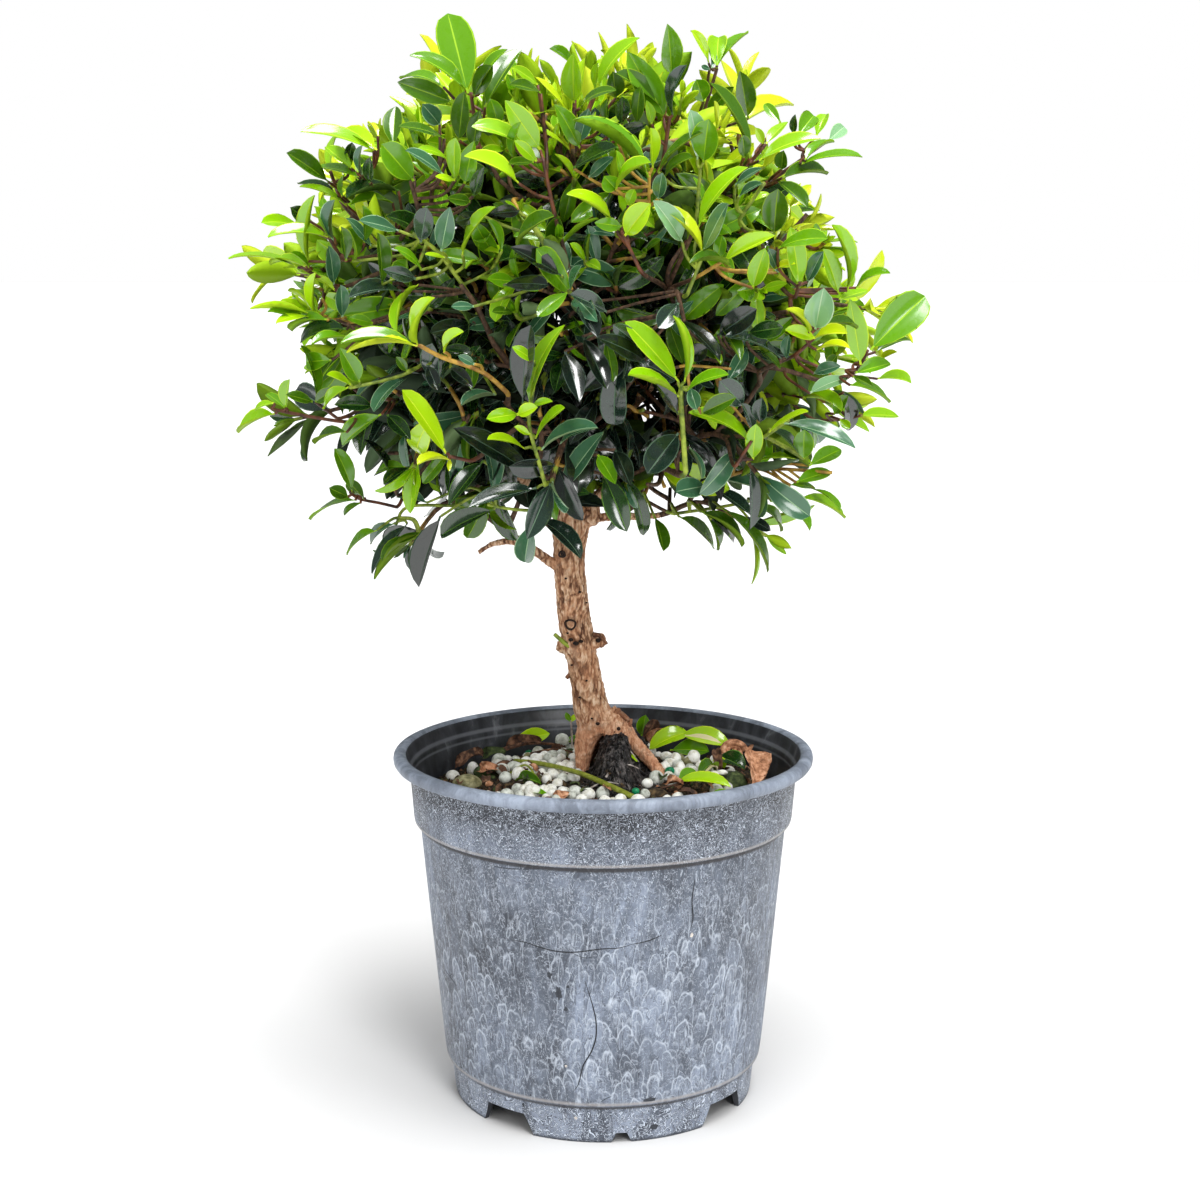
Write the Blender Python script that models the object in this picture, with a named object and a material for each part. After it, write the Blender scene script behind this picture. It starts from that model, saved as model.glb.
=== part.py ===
"""A brush cherry trained as a ball on a bare trunk, standing in a round plastic nursery pot.

Every length below is in millimetres and is turned into metres by MM where a mesh is made. While it is built,
the pot's axis is the Z axis and its feet stand on Z = 0. The front of the plant faces -Y. The last step moves
everything sideways together, so that the middle of the whole plant's box stands over the origin.

A direction is given as (azimuth, elevation): azimuth 0 is the front, 90 the right-hand side (+X), 180 the back.
"""

import math
import random

import bmesh
import bpy
from mathutils import Matrix, Vector
from mathutils.bvhtree import BVHTree

MM = 0.001
GAP = 0.35  # the clearance between two solids that bear on each other

# ---------------------------------------------------------------- the pot
RIM_RADIUS = 82.5
POT_HEIGHT = 138.5
FOOT_HEIGHT = 14.4
FOOT_RADIUS = 59.3
FLOOR_TOP = 14.4
FLOOR_THICKNESS = 1.8
WALL = 1.4
COLLAR_BOTTOM = 111.4
COLLAR_TOP = 133.4
POT_STEPS = 34
FEET = 4
FOOT_AZIMUTH = 6.5  # the middle of the foot that stands nearest the front
ARCH_HALF_ANGLE_TOP = 8.5
ARCH_HALF_ANGLE_FOOT = 12.5
ARCH_HEIGHT = 8.4
NOTCH_HALF_ANGLE_TOP = 2.0
NOTCH_HALF_ANGLE_FOOT = 4.2
NOTCH_HEIGHT = 3.9
DRAIN_RADIUS = 4.0
DRAIN_FROM_AXIS = 46.0

# ---------------------------------------------------------------- the potting mix
MIX_EDGE = 118.6  # its height where it meets the wall
MIX_STEPS = 24
MIX_CLEARANCE = 0.6
GROUND = 125.0  # the level of the flat cut under the trunk
PLATEAU_RADIUS = 38.0
MIX_ROUGHNESS = 0.9

# ---------------------------------------------------------------- the trunk and its roots
TRUNK_SIDES = 10
ROOT_SIDES = 7
TRUNK = (  # (x, y, z, radius), from the root crown to the tip of the leader
    (-1.6, 10.0, 136.0, 8.4),
    (-4.8, 9.0, 152.0, 6.8),
    (-8.0, 7.5, 171.0, 6.1),
    (-10.6, 6.5, 184.0, 6.4),
    (-12.4, 5.5, 200.0, 6.0),
    (-13.2, 5.0, 215.0, 6.3),
    (-12.4, 4.5, 229.0, 7.0),
    (-11.0, 4.5, 243.0, 4.9),
    (-8.6, 5.0, 262.0, 3.9),
    (-7.0, 5.5, 282.0, 3.0),
)
ROOTS = (  # each root leg: (x, y, z, radius), from inside the root crown to below ground level
    ((-2.0, 9.5, 143.0, 5.4), (-5.4, 10.6, 133.0, 4.9), (-8.2, 11.6, 122.0, 3.6)),
    ((1.0, 9.0, 148.0, 5.6), (10.0, 7.6, 139.5, 4.8), (18.0, 6.6, 131.0, 3.4), (26.5, 5.6, 121.0, 2.2)),
    ((1.0, 7.0, 143.0, 3.6), (5.2, 3.6, 137.0, 2.8), (8.4, 1.0, 131.0, 1.5)),
    ((-2.0, 13.0, 144.0, 5.2), (-6.0, 19.0, 134.0, 4.4), (-10.0, 25.5, 121.0, 2.8)),
    ((2.0, 13.0, 144.0, 4.8), (7.0, 19.0, 134.0, 4.0), (13.0, 25.0, 121.0, 2.6)),
)
SCARS = (  # pruned stubs on the trunk: (height, azimuth, radius, how far it stands out)
    (186.5, -12.0, 2.3, 1.1),
    (178.5, 82.0, 2.9, 4.4),
    (176.0, -95.0, 2.4, 3.2),
    (229.0, 76.0, 4.6, 4.2),
    (203.0, 150.0, 2.2, 1.4),
)
MOUND_TOP = (5.0, 2.0, 140.5)  # the heap of root fibre and mix under the root arch
MOUND_RADIUS = 17.0

# ---------------------------------------------------------------- the crown
CROWN_CENTRE = Vector((-8.0, 3.0, 311.0))
CROWN_RADII = Vector((114.0, 112.0, 92.0))
CROWN_POWER = 2.5  # 2 is an ellipsoid, and more is squarer at the shoulders
CROWN_LOW = Vector((-141.0, -118.0, 202.0))  # the corners of the box that holds every leaf
CROWN_HIGH = Vector((122.6, 118.0, 418.0))
SHOOT_ROOM = 24.0  # leaves this near the tip of a long shoot may stand out of the ball
SPACE_MARGIN = 0.35  # half the clearance between two neighbouring masses
LIMB_ROOM = 0.7  # what a twig or leaf keeps clear of any limb
CORE_RADIUS = 31.0
CORE_FLATNESS = 0.3  # how much thinner a core is towards the crown's middle and away from it
CORE_JITTER = 0.08
BOUGH_SAG = 0.08  # how far the middle of a plain bough hangs below a straight line, as a share of its length
BOUGH_RADII = (2.3, 1.4)  # of a plain bough, at its root and at its tip

# Each mass: its name, the azimuth and elevation of its middle as seen from the crown's centre and how far out that
# lies as a share of the crown's radius, then the tip of its longest shoot (x, y, z). Its bough is either the height
# at which a plain one leaves the leader, or a route (x, y, z) from inside its parent to where it enters the mass.
MASSES = (
    ("top", (0, 88, 0.62), (23, 2, 414), 279),
    ("upper_left", (-86, 42, 0.66), (-55, -4, 417.5), 268),
    ("upper_right", (86, 41, 0.66), (55, 2, 411), ((-7.4, 5.4, 275), (-1, 6, 300), (17, 6, 330))),
    ("upper_front", (-2, 38, 0.66), (-14, -78, 394), 273),
    ("upper_back", (180, 42, 0.66), (6, 80, 396), 270),
    ("left", (-91, 3, 0.68), (-141, -3, 328), 250),
    ("right", (91, 1, 0.66), (122.6, -2, 308), ((-11, 4.5, 240), (-1.6, 6, 254), (8, 7, 276), (30, 6, 302))),
    ("front", (0, -1, 0.66), (-14, -116, 322), 254),
    ("back", (180, 0, 0.66), (10, 117, 318), 257),
    ("front_left", (-46, 5, 0.66), (-90, -78, 350), 262),
    ("front_right", (46, 5, 0.66), (70, -82, 350), 259),
    ("back_left", (-135, 5, 0.66), (-88, 84, 348), 265),
    ("back_right", (134, 5, 0.66), (76, 84, 350), 260),
    ("lower_left", (-92, -27, 0.70), (-138, 2, 264), 242),
    ("lower_right", (91, -25, 0.70), (112, 4, 270), ((-12.2, 4.5, 229), (10.9, 2, 247), (21, 1, 257), (38, 1, 268))),
    ("low_front", (-4, -33, 0.72), (-22, -98, 240), 234),
    ("low_front_left", (-49, -32, 0.72), (-72, -76, 244), 238),
    ("low_front_right", (42, -32, 0.72), (66, -78, 242), 236),
    ("low_back_left", (-144, -32, 0.72), (-66, 88, 244), 240),
    ("low_back_right", (146, -32, 0.72), (60, 90, 246), 244),
    ("bottom_left", (-88, -56, 0.88), (-88, -8, 206), ((-13.2, 5, 207), (-22, 3, 213), (-34, 0, 222))),
    ("bottom_right", (90, -58, 0.88), (80, -4, 214), ((-9, 4.5, 229), (6, 1, 230), (22, -2, 231))),
)
SIDE_BOUGHS = {  # the radii, at the root and at the tip, of the boughs that differ from a plain one
    "upper_right": (2.6, 1.5),
    "left": (2.7, 1.5),
    "right": (3.1, 1.6),
    "lower_left": (2.6, 1.4),
    "lower_right": (3.4, 1.5),
    "bottom_left": (2.6, 1.4),
    "bottom_right": (1.9, 1.2),
}
STUB = ((-31.0, 1.2, 219.5), (-37.0, 5.0, 219.8), (-44.0, 9.0, 218.0), (-49.0, 11.0, 214.5))  # a dead twig's route
STUB_RADII = (1.5, 1.0)
BOUGH_SIDES = 5
NEAR = 12.0  # boughs whose routes come this near are cut clear of each other
BOUGH_RINGS = 3
TWIG_STEPS = 2

STEM_TIP_RADIUS = 0.8
STEM_SEAT = 2.0  # a stem runs straight on from its bough for this length
TWIG_RADIUS = 1.15
TWIG_TIP_RADIUS = 0.75
TWIG_SIDES = 3
TWIGS_PER_STEM = 4
TWIG_LENGTH = 46.0
TWIG_LIFT = 0.16  # how much it turns up at each step
TWIG_TILT = 66.0  # between a twig and its stem, in degrees
GOLDEN_ANGLE = 137.5
NODE_SPACING = 10.5  # between two pairs of leaves on a twig
LEAF_LENGTH = 36.0
LEAF_WIDTH_SHARE = 0.4
LEAF_THICKNESS = 1.0
LEAF_WIDEST = 0.5
LEAF_TILT = 48.0  # between a leaf and its twig
LEAF_FOLD = 1.3  # how far the halves of the blade stand above its midrib
LEAF_ARCH = 2.2  # how far the middle of the blade stands above a straight line from base to tip
LEAF_TRIES = ((0, 0, 1.0), (20, 0, 0.96), (-20, 0, 0.96), (0, 20, 0.9), (35, 12, 0.85), (-35, 12, 0.85), (0, 35, 0.8))
ROOT_SUNK = 0.2  # how far from its twig's middle a leaf starts, as a share of the twig's radius
THATCH = 44  # places for leaves all round a core
INNER_SIDE = 0.0  # no leaf grows where a core faces the crown's middle more than this
THATCH_TILT = (18.0, 52.0)  # between a leaf and the core under it
THATCH_SUNK = 1.6
THATCH_LIFT = 0.25  # how much the leaves round a core turn upwards
CORE_LEAST = 14.0
CORE_CLEAR = 1.0
LEAFLESS = 8.0  # there are no leaves this near the root of a twig
TIP_SEAT = 0.5  # the last pair of leaves sits this far inside the twig's tip
LEAF_SPREAD = 12.0  # how much the tilt of a leaf varies, in degrees
FIRST_TWIG = 0.16  # where the first and last twigs leave the stem, as shares of its length
LAST_TWIG = 0.8
SEED = 41

COLOURS = {  # base colour, roughness
    "pot": ((0.27, 0.30, 0.34), 0.62),
    "potting_mix": ((0.035, 0.024, 0.018), 0.95),
    "bark": ((0.27, 0.135, 0.075), 0.85),
    "leaves": ((0.055, 0.135, 0.022), 0.38),
}


# ---------------------------------------------------------------- helpers
def clear_scene():
    for thing in list(bpy.data.objects):
        bpy.data.objects.remove(thing, do_unlink=True)


def material(name):
    colour, roughness = COLOURS[name]
    made = bpy.data.materials.get(name)
    if made is None:
        made = bpy.data.materials.new(name)
        made.use_nodes = True
        shader = made.node_tree.nodes["Principled BSDF"]
        shader.inputs["Base Color"].default_value = (*colour, 1.0)
        shader.inputs["Roughness"].default_value = roughness
        shader.inputs["Metallic"].default_value = 0.0
    return made


def outward(azimuth, elevation):
    """The unit vector that points that way, in degrees."""
    a, e = math.radians(azimuth), math.radians(elevation)
    return Vector((math.sin(a) * math.cos(e), -math.cos(a) * math.cos(e), math.sin(e)))


def object_from(bm, name, colour):
    """Closes up a bmesh that was built in millimetres and links it as an object in metres."""
    bmesh.ops.remove_doubles(bm, verts=bm.verts, dist=1e-4)
    bmesh.ops.recalc_face_normals(bm, faces=bm.faces)
    bmesh.ops.scale(bm, vec=(MM, MM, MM), verts=bm.verts)
    mesh = bpy.data.meshes.new(name)
    bm.to_mesh(mesh)
    bm.free()
    mesh.materials.append(material(colour))
    made = bpy.data.objects.new(name, mesh)
    bpy.context.scene.collection.objects.link(made)
    return made


def apply_boolean(target, operation, others, solver="EXACT"):
    """Joins the others to the target, or cuts them from it, applies that and removes them."""
    group = bpy.data.collections.new("operands")
    bpy.context.scene.collection.children.link(group)
    for other in others:
        for home in list(other.users_collection):
            home.objects.unlink(other)
        group.objects.link(other)
    step = target.modifiers.new("join", "BOOLEAN")
    step.operation = operation
    step.operand_type = "COLLECTION"
    step.collection = group
    step.solver = solver
    bpy.context.view_layer.update()
    graph = bpy.context.evaluated_depsgraph_get()
    result = bpy.data.meshes.new_from_object(target.evaluated_get(graph))
    target.modifiers.clear()
    target.data = result
    for other in others:
        bpy.data.objects.remove(other, do_unlink=True)
    bpy.data.collections.remove(group)
    return target


def smooth(made, angle=40.0):
    made.data.shade_smooth()
    made.data.set_sharp_from_angle(angle=math.radians(angle))
    return made


def turned(name, profile, steps, colour):
    """The solid that a profile of (radius, height) points makes when it is spun about the Z axis.

    It closes with a flat face across its first ring and another across its last.
    """
    bm = bmesh.new()
    turns = [Matrix.Rotation(2 * math.pi * k / steps, 3, "Z") for k in range(steps)]
    rings = [[bm.verts.new(turn @ Vector((radius, 0.0, height))) for turn in turns] for radius, height in profile]
    join_rings(bm, rings)
    return object_from(bm, name, colour)


def join_rings(bm, rings):
    """Faces between each ring of vertices and the next, and a cap across each end."""
    for low, high in zip(rings, rings[1:]):
        for k, corner in enumerate(low):
            bm.faces.new((corner, low[(k + 1) % len(low)], high[(k + 1) % len(high)], high[k]))
    bm.faces.new(list(reversed(rings[0])))
    bm.faces.new(rings[-1])


def curve_through(points, per_span):
    """Points along a smooth Catmull-Rom curve through the given points. Each point may also hold a radius."""
    ends = [points[0], *points, points[-1]]
    route = []
    for before, start, end, after in zip(ends, ends[1:], ends[2:], ends[3:]):
        for step in range(per_span):
            t = step / per_span
            route.append(
                tuple(
                    0.5 * (2 * q + (r - p) * t + (2 * p - 5 * q + 4 * r - s) * t**2 + (3 * q - p - 3 * r + s) * t**3)
                    for p, q, r, s in zip(before, start, end, after)
                )
            )
    return [*route, tuple(points[-1])]


def rings_along(bm, route, radii, sides):
    """The rings of a round limb along a route, turned with it so that its faces don't twist."""
    route = [Vector(point) for point in route]
    across = (route[1] - route[0]).orthogonal().normalized()
    rings = []
    for index, (point, radius) in enumerate(zip(route, radii)):
        ahead = (route[min(index + 1, len(route) - 1)] - route[max(index - 1, 0)]).normalized()
        across = (across - ahead * across.dot(ahead)).normalized()
        side = ahead.cross(across)
        angles = [2 * math.pi * k / sides for k in range(sides)]
        rings.append([bm.verts.new(point + radius * (across * math.cos(a) + side * math.sin(a))) for a in angles])
    return rings


def limb_mesh(route, radii, sides):
    """A closed tapering limb as a bmesh, with a flat cap at each end."""
    bm = bmesh.new()
    join_rings(bm, rings_along(bm, route, radii, sides))
    return bm


def limb(name, route, radii, sides, colour="bark"):
    return object_from(limb_mesh(route, radii, sides), name, colour)


def fattened(route, radii, extra):
    """The route and radii of a limb that is bigger by extra all round and at both ends."""
    route = [Vector(point) for point in route]
    route[0] = route[0] + (route[0] - route[1]).normalized() * extra
    route[-1] = route[-1] + (route[-1] - route[-2]).normalized() * extra
    return route, [radius + extra for radius in radii]


# ---------------------------------------------------------------- the pot
def pot_wall_radius(height):
    """The outer radius of the pot's body between its foot and its collar."""
    low, high = (17.2, 63.3), (COLLAR_BOTTOM - 1.0, 72.2)
    return low[1] + (high[1] - low[1]) * (height - low[0]) / (high[0] - low[0])


def pot_profile():
    """The pot's outline from the middle of its underside, round the rim, to the middle of its floor."""
    foot = [
        (57.0, FLOOR_TOP - FLOOR_THICKNESS),
        (57.6, 0.0),
        (FOOT_RADIUS, 0.0),
        (61.1, FOOT_HEIGHT),
        (62.7, FOOT_HEIGHT + 1.1),
    ]
    body = [(pot_wall_radius(z), z) for z in (17.2, COLLAR_BOTTOM - 1.0)]
    collar = [(74.3, COLLAR_BOTTOM), (75.9, 130.2), (77.0, COLLAR_TOP)]
    lip = [
        (81.2, COLLAR_TOP),
        (RIM_RADIUS, COLLAR_TOP + 1.6),
        (RIM_RADIUS - 0.6, POT_HEIGHT - 0.9),
        (RIM_RADIUS - 2.5, POT_HEIGHT),
        (77.6, POT_HEIGHT - 0.7),
    ]
    return foot + body + collar + lip + inner_wall(0.0) + [(59.4, FLOOR_TOP)]


def inner_wall(clearance):
    """The inside of the pot from its lip down to the curve into its floor, or what stays clear of it."""
    wall = (
        (75.8, COLLAR_TOP),
        (73.3, COLLAR_BOTTOM + 1.8),
        (pot_wall_radius(COLLAR_BOTTOM) - WALL, COLLAR_BOTTOM - 0.6),
        (61.8, FLOOR_TOP + 4.6),
    )
    return [(radius - clearance, height) for radius, height in wall]


def wedge(azimuth, half_low, half_high, low, high, near, far):
    """A block cut to a slice of a ring: as wide as twice half_low degrees at its foot and half_high at its top."""
    bm = bmesh.new()
    corners = []
    for height, half in ((low, half_low), (high, half_high)):
        for radius, turn in ((near, -half), (far, -half), (far, half), (near, half)):
            corners.append(bm.verts.new(outward(azimuth + turn, 0.0) * radius + Vector((0.0, 0.0, height))))
    faces = ((3, 2, 1, 0), (4, 5, 6, 7), (0, 1, 5, 4), (1, 2, 6, 5), (2, 3, 7, 6), (3, 0, 4, 7))
    for face in faces:
        bm.faces.new([corners[k] for k in face])
    return object_from(bm, "wedge", "pot")


def drain(azimuth, from_axis):
    """A cutter for a round hole through the floor."""
    bm = bmesh.new()
    middle = outward(azimuth, 0.0) * from_axis + Vector((0.0, 0.0, FLOOR_TOP - FLOOR_THICKNESS / 2))
    bmesh.ops.create_cone(
        bm,
        cap_ends=True,
        segments=12,
        radius1=DRAIN_RADIUS,
        radius2=DRAIN_RADIUS,
        depth=3 * FLOOR_THICKNESS,
        matrix=Matrix.Translation(middle),
    )
    return object_from(bm, "drain", "pot")


def make_pot():
    """The turned pot, with arches between its feet, a notch in each foot and drain holes in the floor."""
    pot = turned("pot", pot_profile(), POT_STEPS, "pot")
    cutters = [drain(0.0, 0.0)]
    for foot in range(FEET):
        azimuth = FOOT_AZIMUTH + 360.0 * foot / FEET
        between = azimuth + 180.0 / FEET
        cutters.append(wedge(azimuth, NOTCH_HALF_ANGLE_FOOT, NOTCH_HALF_ANGLE_TOP, -1.0, NOTCH_HEIGHT, 50.0, 70.0))
        cutters.append(wedge(between, ARCH_HALF_ANGLE_FOOT, ARCH_HALF_ANGLE_TOP, -1.0, ARCH_HEIGHT, 50.0, 70.0))
        cutters.append(drain(between, DRAIN_FROM_AXIS))
    return smooth(apply_boolean(pot, "DIFFERENCE", cutters))


# ---------------------------------------------------------------- the potting mix
def make_potting_mix(trunk_room):
    """The plug of mix that fills the pot, with a heap of root fibre under the trunk's root arch."""
    floor = [(59.4 - MIX_CLEARANCE, FLOOR_TOP + GAP)]
    wall = [*reversed(inner_wall(MIX_CLEARANCE)[1:]), (73.3, MIX_EDGE)]
    top = [(64.0, 119.8), (53.0, 121.8), (45.0, 123.6), (PLATEAU_RADIUS, GROUND - GAP)]
    mix = turned("potting_mix", floor + wall + top, MIX_STEPS, "potting_mix")
    rng = random.Random(SEED)
    for vertex in mix.data.vertices:
        from_axis = math.hypot(vertex.co.x, vertex.co.y) / MM
        if vertex.co.z / MM > MIX_EDGE + 0.5 and PLATEAU_RADIUS + 1.0 < from_axis:
            vertex.co.z += rng.uniform(-1.0, 1.0) * MIX_ROUGHNESS * MM
    heap = bmesh.new()
    bmesh.ops.create_icosphere(heap, subdivisions=2, radius=MOUND_RADIUS)
    height = MOUND_TOP[2] - GROUND
    for vertex in heap.verts:
        vertex.co *= rng.uniform(0.92, 1.06)
        vertex.co.z *= height / MOUND_RADIUS
        vertex.co += Vector((MOUND_TOP[0], MOUND_TOP[1], GROUND - GAP))
    heap = object_from(heap, "heap", "potting_mix")
    apply_boolean(heap, "DIFFERENCE", trunk_room)
    return apply_boolean(mix, "UNION", [heap])


# ---------------------------------------------------------------- the trunk
def split_radius(points):
    return [Vector(point[:3]) for point in points], [point[3] for point in points]


def trunk_axis_at(height):
    """(middle, radius) of the trunk at that height."""
    for low, high in zip(TRUNK, TRUNK[1:]):
        if low[2] <= height <= high[2]:
            t = (height - low[2]) / (high[2] - low[2])
            here = [a + (b - a) * t for a, b in zip(low, high)]
            return Vector(here[:3]), here[3]
    return Vector(TRUNK[-1][:3]), TRUNK[-1][3]


def trunk_pieces(extra):
    """The stem, its root legs and its pruned stubs as separate limbs, each fatter by extra all round."""
    route, radii = split_radius(curve_through(TRUNK, 2))
    pieces = [limb("trunk", *fattened(route, radii, extra), TRUNK_SIDES)]
    for leg in ROOTS:
        route, radii = split_radius(curve_through(leg, 2))
        pieces.append(limb("root", *fattened(route, radii, extra), ROOT_SIDES))
    for height, azimuth, radius, proud in SCARS:
        middle, trunk_radius = trunk_axis_at(height)
        end = middle + outward(azimuth, 12.0) * (trunk_radius + proud)
        stub = fattened((middle, middle.lerp(end, 0.8), end), (radius, radius, radius * 0.7), extra)
        pieces.append(limb("scar", *stub, ROOT_SIDES))
    return pieces


def below_ground():
    bm = bmesh.new()
    bmesh.ops.create_cube(bm, size=120.0, matrix=Matrix.Translation((0.0, 0.0, GROUND - 60.0)))
    return object_from(bm, "below_ground", "bark")


def make_trunk():
    """One solid from the flat cut at ground level, through the root flare, to the tip of the leader."""
    stem, *rest = trunk_pieces(0.0)
    apply_boolean(stem, "UNION", rest)
    return smooth(apply_boolean(stem, "DIFFERENCE", [below_ground()]), 60.0)


# ---------------------------------------------------------------- the boughs
def outness(offset):
    """How far out of the crown a point at that offset from its centre lies: 0 at the centre and 1 on the surface."""
    return sum(abs(part / radius) ** CROWN_POWER for part, radius in zip(offset, CROWN_RADII)) ** (1 / CROWN_POWER)


def heart_of(azimuth, elevation, share):
    """The middle of a mass, which lies that share of the way out from the crown's centre to its surface."""
    way = outward(azimuth, elevation)
    return CROWN_CENTRE + way * share / outness(way)


def bough_route(bough, heart):
    """A bough's own route, or a plain one from that height on the leader to the edge of the mass's core."""
    if isinstance(bough, tuple):
        return bough
    start = trunk_axis_at(bough)[0]
    end = heart + (start - heart).normalized() * (CORE_RADIUS + 2.0)
    sag = Vector((0.0, 0.0, -BOUGH_SAG * (end - start).length))
    return tuple(start), tuple(start.lerp(end, 0.5) + sag), tuple(end)


def limb_line(heart, tip, bough):
    """The one smooth line that a bough and the stem of its mass follow, and the index where the bough ends."""
    route = bough_route(bough, heart)
    line = curve_through([*route, tuple(heart), tip], BOUGH_RINGS)
    return [Vector(point) for point in line], BOUGH_RINGS * (len(route) - 1)


def taper(start, end, count):
    return [start + (end - start) * k / (count - 1) for k in range(count)]


class Limbs:
    """The trunk and boughs that leaves keep clear of, as short straight pieces with a radius."""

    def __init__(self):
        self.pieces = []
        self.trees = []

    def add(self, route, radii):
        route = [Vector(point) for point in route]
        self.pieces += list(zip(route, route[1:], radii, radii[1:]))
        room = limb_mesh(route, [radius + LIMB_ROOM for radius in radii], BOUGH_SIDES)
        self.trees.append(BVHTree.FromBMesh(room))
        room.free()

    def crossed_by(self, tree):
        return any(tree.overlap(other) for other in self.trees)

    def touched_by(self, point, room):
        for start, end, r0, r1 in self.pieces:
            along = end - start
            t = max(0.0, min(1.0, (point - start).dot(along) / along.length_squared))
            if (point - start - along * t).length < r0 + (r1 - r0) * t + room:
                return True
        return False


def make_boughs(limbs):
    """Each bough starts inside its parent, is cut clear of it and of the boughs made before it, and ends at its mass."""
    routes = []
    for name, middle, tip, bough in MASSES:
        line, end = limb_line(heart_of(*middle), tip, bough)
        route = line[: end + 1]
        radii = taper(*SIDE_BOUGHS.get(name, BOUGH_RADII), len(route))
        made = limb(f"bough_{name}", route, radii, BOUGH_SIDES)
        cut_clear(made, route, routes)
        smooth(made, 60.0)
        routes.append((route, radii))
        limbs.add(route, radii)
    route = [Vector(point) for point in curve_through(STUB, 2)]
    radii = taper(*STUB_RADII, len(route))
    stub = limb("stub_left", route, radii, BOUGH_SIDES)
    cut_clear(stub, route, routes)
    smooth(stub, 60.0)
    limbs.add(route, radii)


def nearest(route_a, route_b):
    return min((a - b).length for a in route_a for b in route_b)


def cut_clear(bough, route, others):
    """Cuts the trunk and the boughs that come near this one out of it, with a gap all round them."""
    cutters = trunk_pieces(GAP)
    for other in others:
        if nearest(route, other[0]) < NEAR:
            cutters.append(limb("room", *fattened(*other, GAP), BOUGH_SIDES))
    apply_boolean(bough, "DIFFERENCE", cutters)
    keep_largest(bough)


def keep_largest(made):
    """Drops the loose scraps that a cut leaves, which are the islands with fewer vertices."""
    bm = bmesh.new()
    bm.from_mesh(made.data)
    left = set(bm.verts)
    islands = []
    while left:
        queue = [left.pop()]
        island = set(queue)
        while queue:
            for edge in queue.pop().link_edges:
                for vertex in edge.verts:
                    if vertex in left:
                        left.discard(vertex)
                        island.add(vertex)
                        queue.append(vertex)
        islands.append(island)
    largest = max(islands, key=spread)
    bmesh.ops.delete(bm, geom=[v for v in bm.verts if v not in largest], context="VERTS")
    bm.to_mesh(made.data)
    bm.free()


def spread(vertices):
    """The length of the diagonal of the box round some vertices."""
    lows = [min(v.co[k] for v in vertices) for k in range(3)]
    highs = [max(v.co[k] for v in vertices) for k in range(3)]
    return (Vector(highs) - Vector(lows)).length


# ---------------------------------------------------------------- the masses of leaves
class Space:
    """What one mass keeps to: nearer to its own heart than to any other, inside the crown and clear of the limbs.

    Near the tip of its longest shoot it may stand out of the crown.
    """

    def __init__(self, heart, others, tip, limbs):
        self.heart = heart
        self.others = others
        self.tip = tip
        self.limbs = limbs

    def holds(self, point):
        for other in self.others:
            apart = (other - self.heart).length
            beyond = ((point - other).length_squared - (point - self.heart).length_squared) / (2 * apart)
            if beyond < SPACE_MARGIN:
                return False
        if any(not low <= value <= high for low, value, high in zip(CROWN_LOW, point, CROWN_HIGH)):
            return False
        if outness(point - CROWN_CENTRE) > 1.0 and (point - self.tip).length > SHOOT_ROOM:
            return False
        return not self.limbs.touched_by(point, LIMB_ROOM)


def leaf_mesh(base, way, up, length, width):
    """A blade of eight faces: an outline of base, two sides and tip round a thicker midrib, folded and arched."""
    side = way.cross(up).normalized()
    up = side.cross(way).normalized()
    middle = base + way * length * LEAF_WIDEST + up * LEAF_ARCH
    tip = base + way * length - up * LEAF_ARCH
    left = middle + side * width / 2 + up * LEAF_FOLD
    right = middle - side * width / 2 + up * LEAF_FOLD
    above, under = middle + up * LEAF_THICKNESS / 2, middle - up * LEAF_THICKNESS / 2
    corners = [base, left, tip, right, above, under]
    faces = [(0, 1, 4), (1, 2, 4), (2, 3, 4), (3, 0, 4), (1, 0, 5), (2, 1, 5), (3, 2, 5), (0, 3, 5)]
    return corners, faces


def bmesh_of(corners, faces):
    bm = bmesh.new()
    points = [bm.verts.new(corner) for corner in corners]
    for face in faces:
        bm.faces.new([points[k] for k in face])
    return bm


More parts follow.
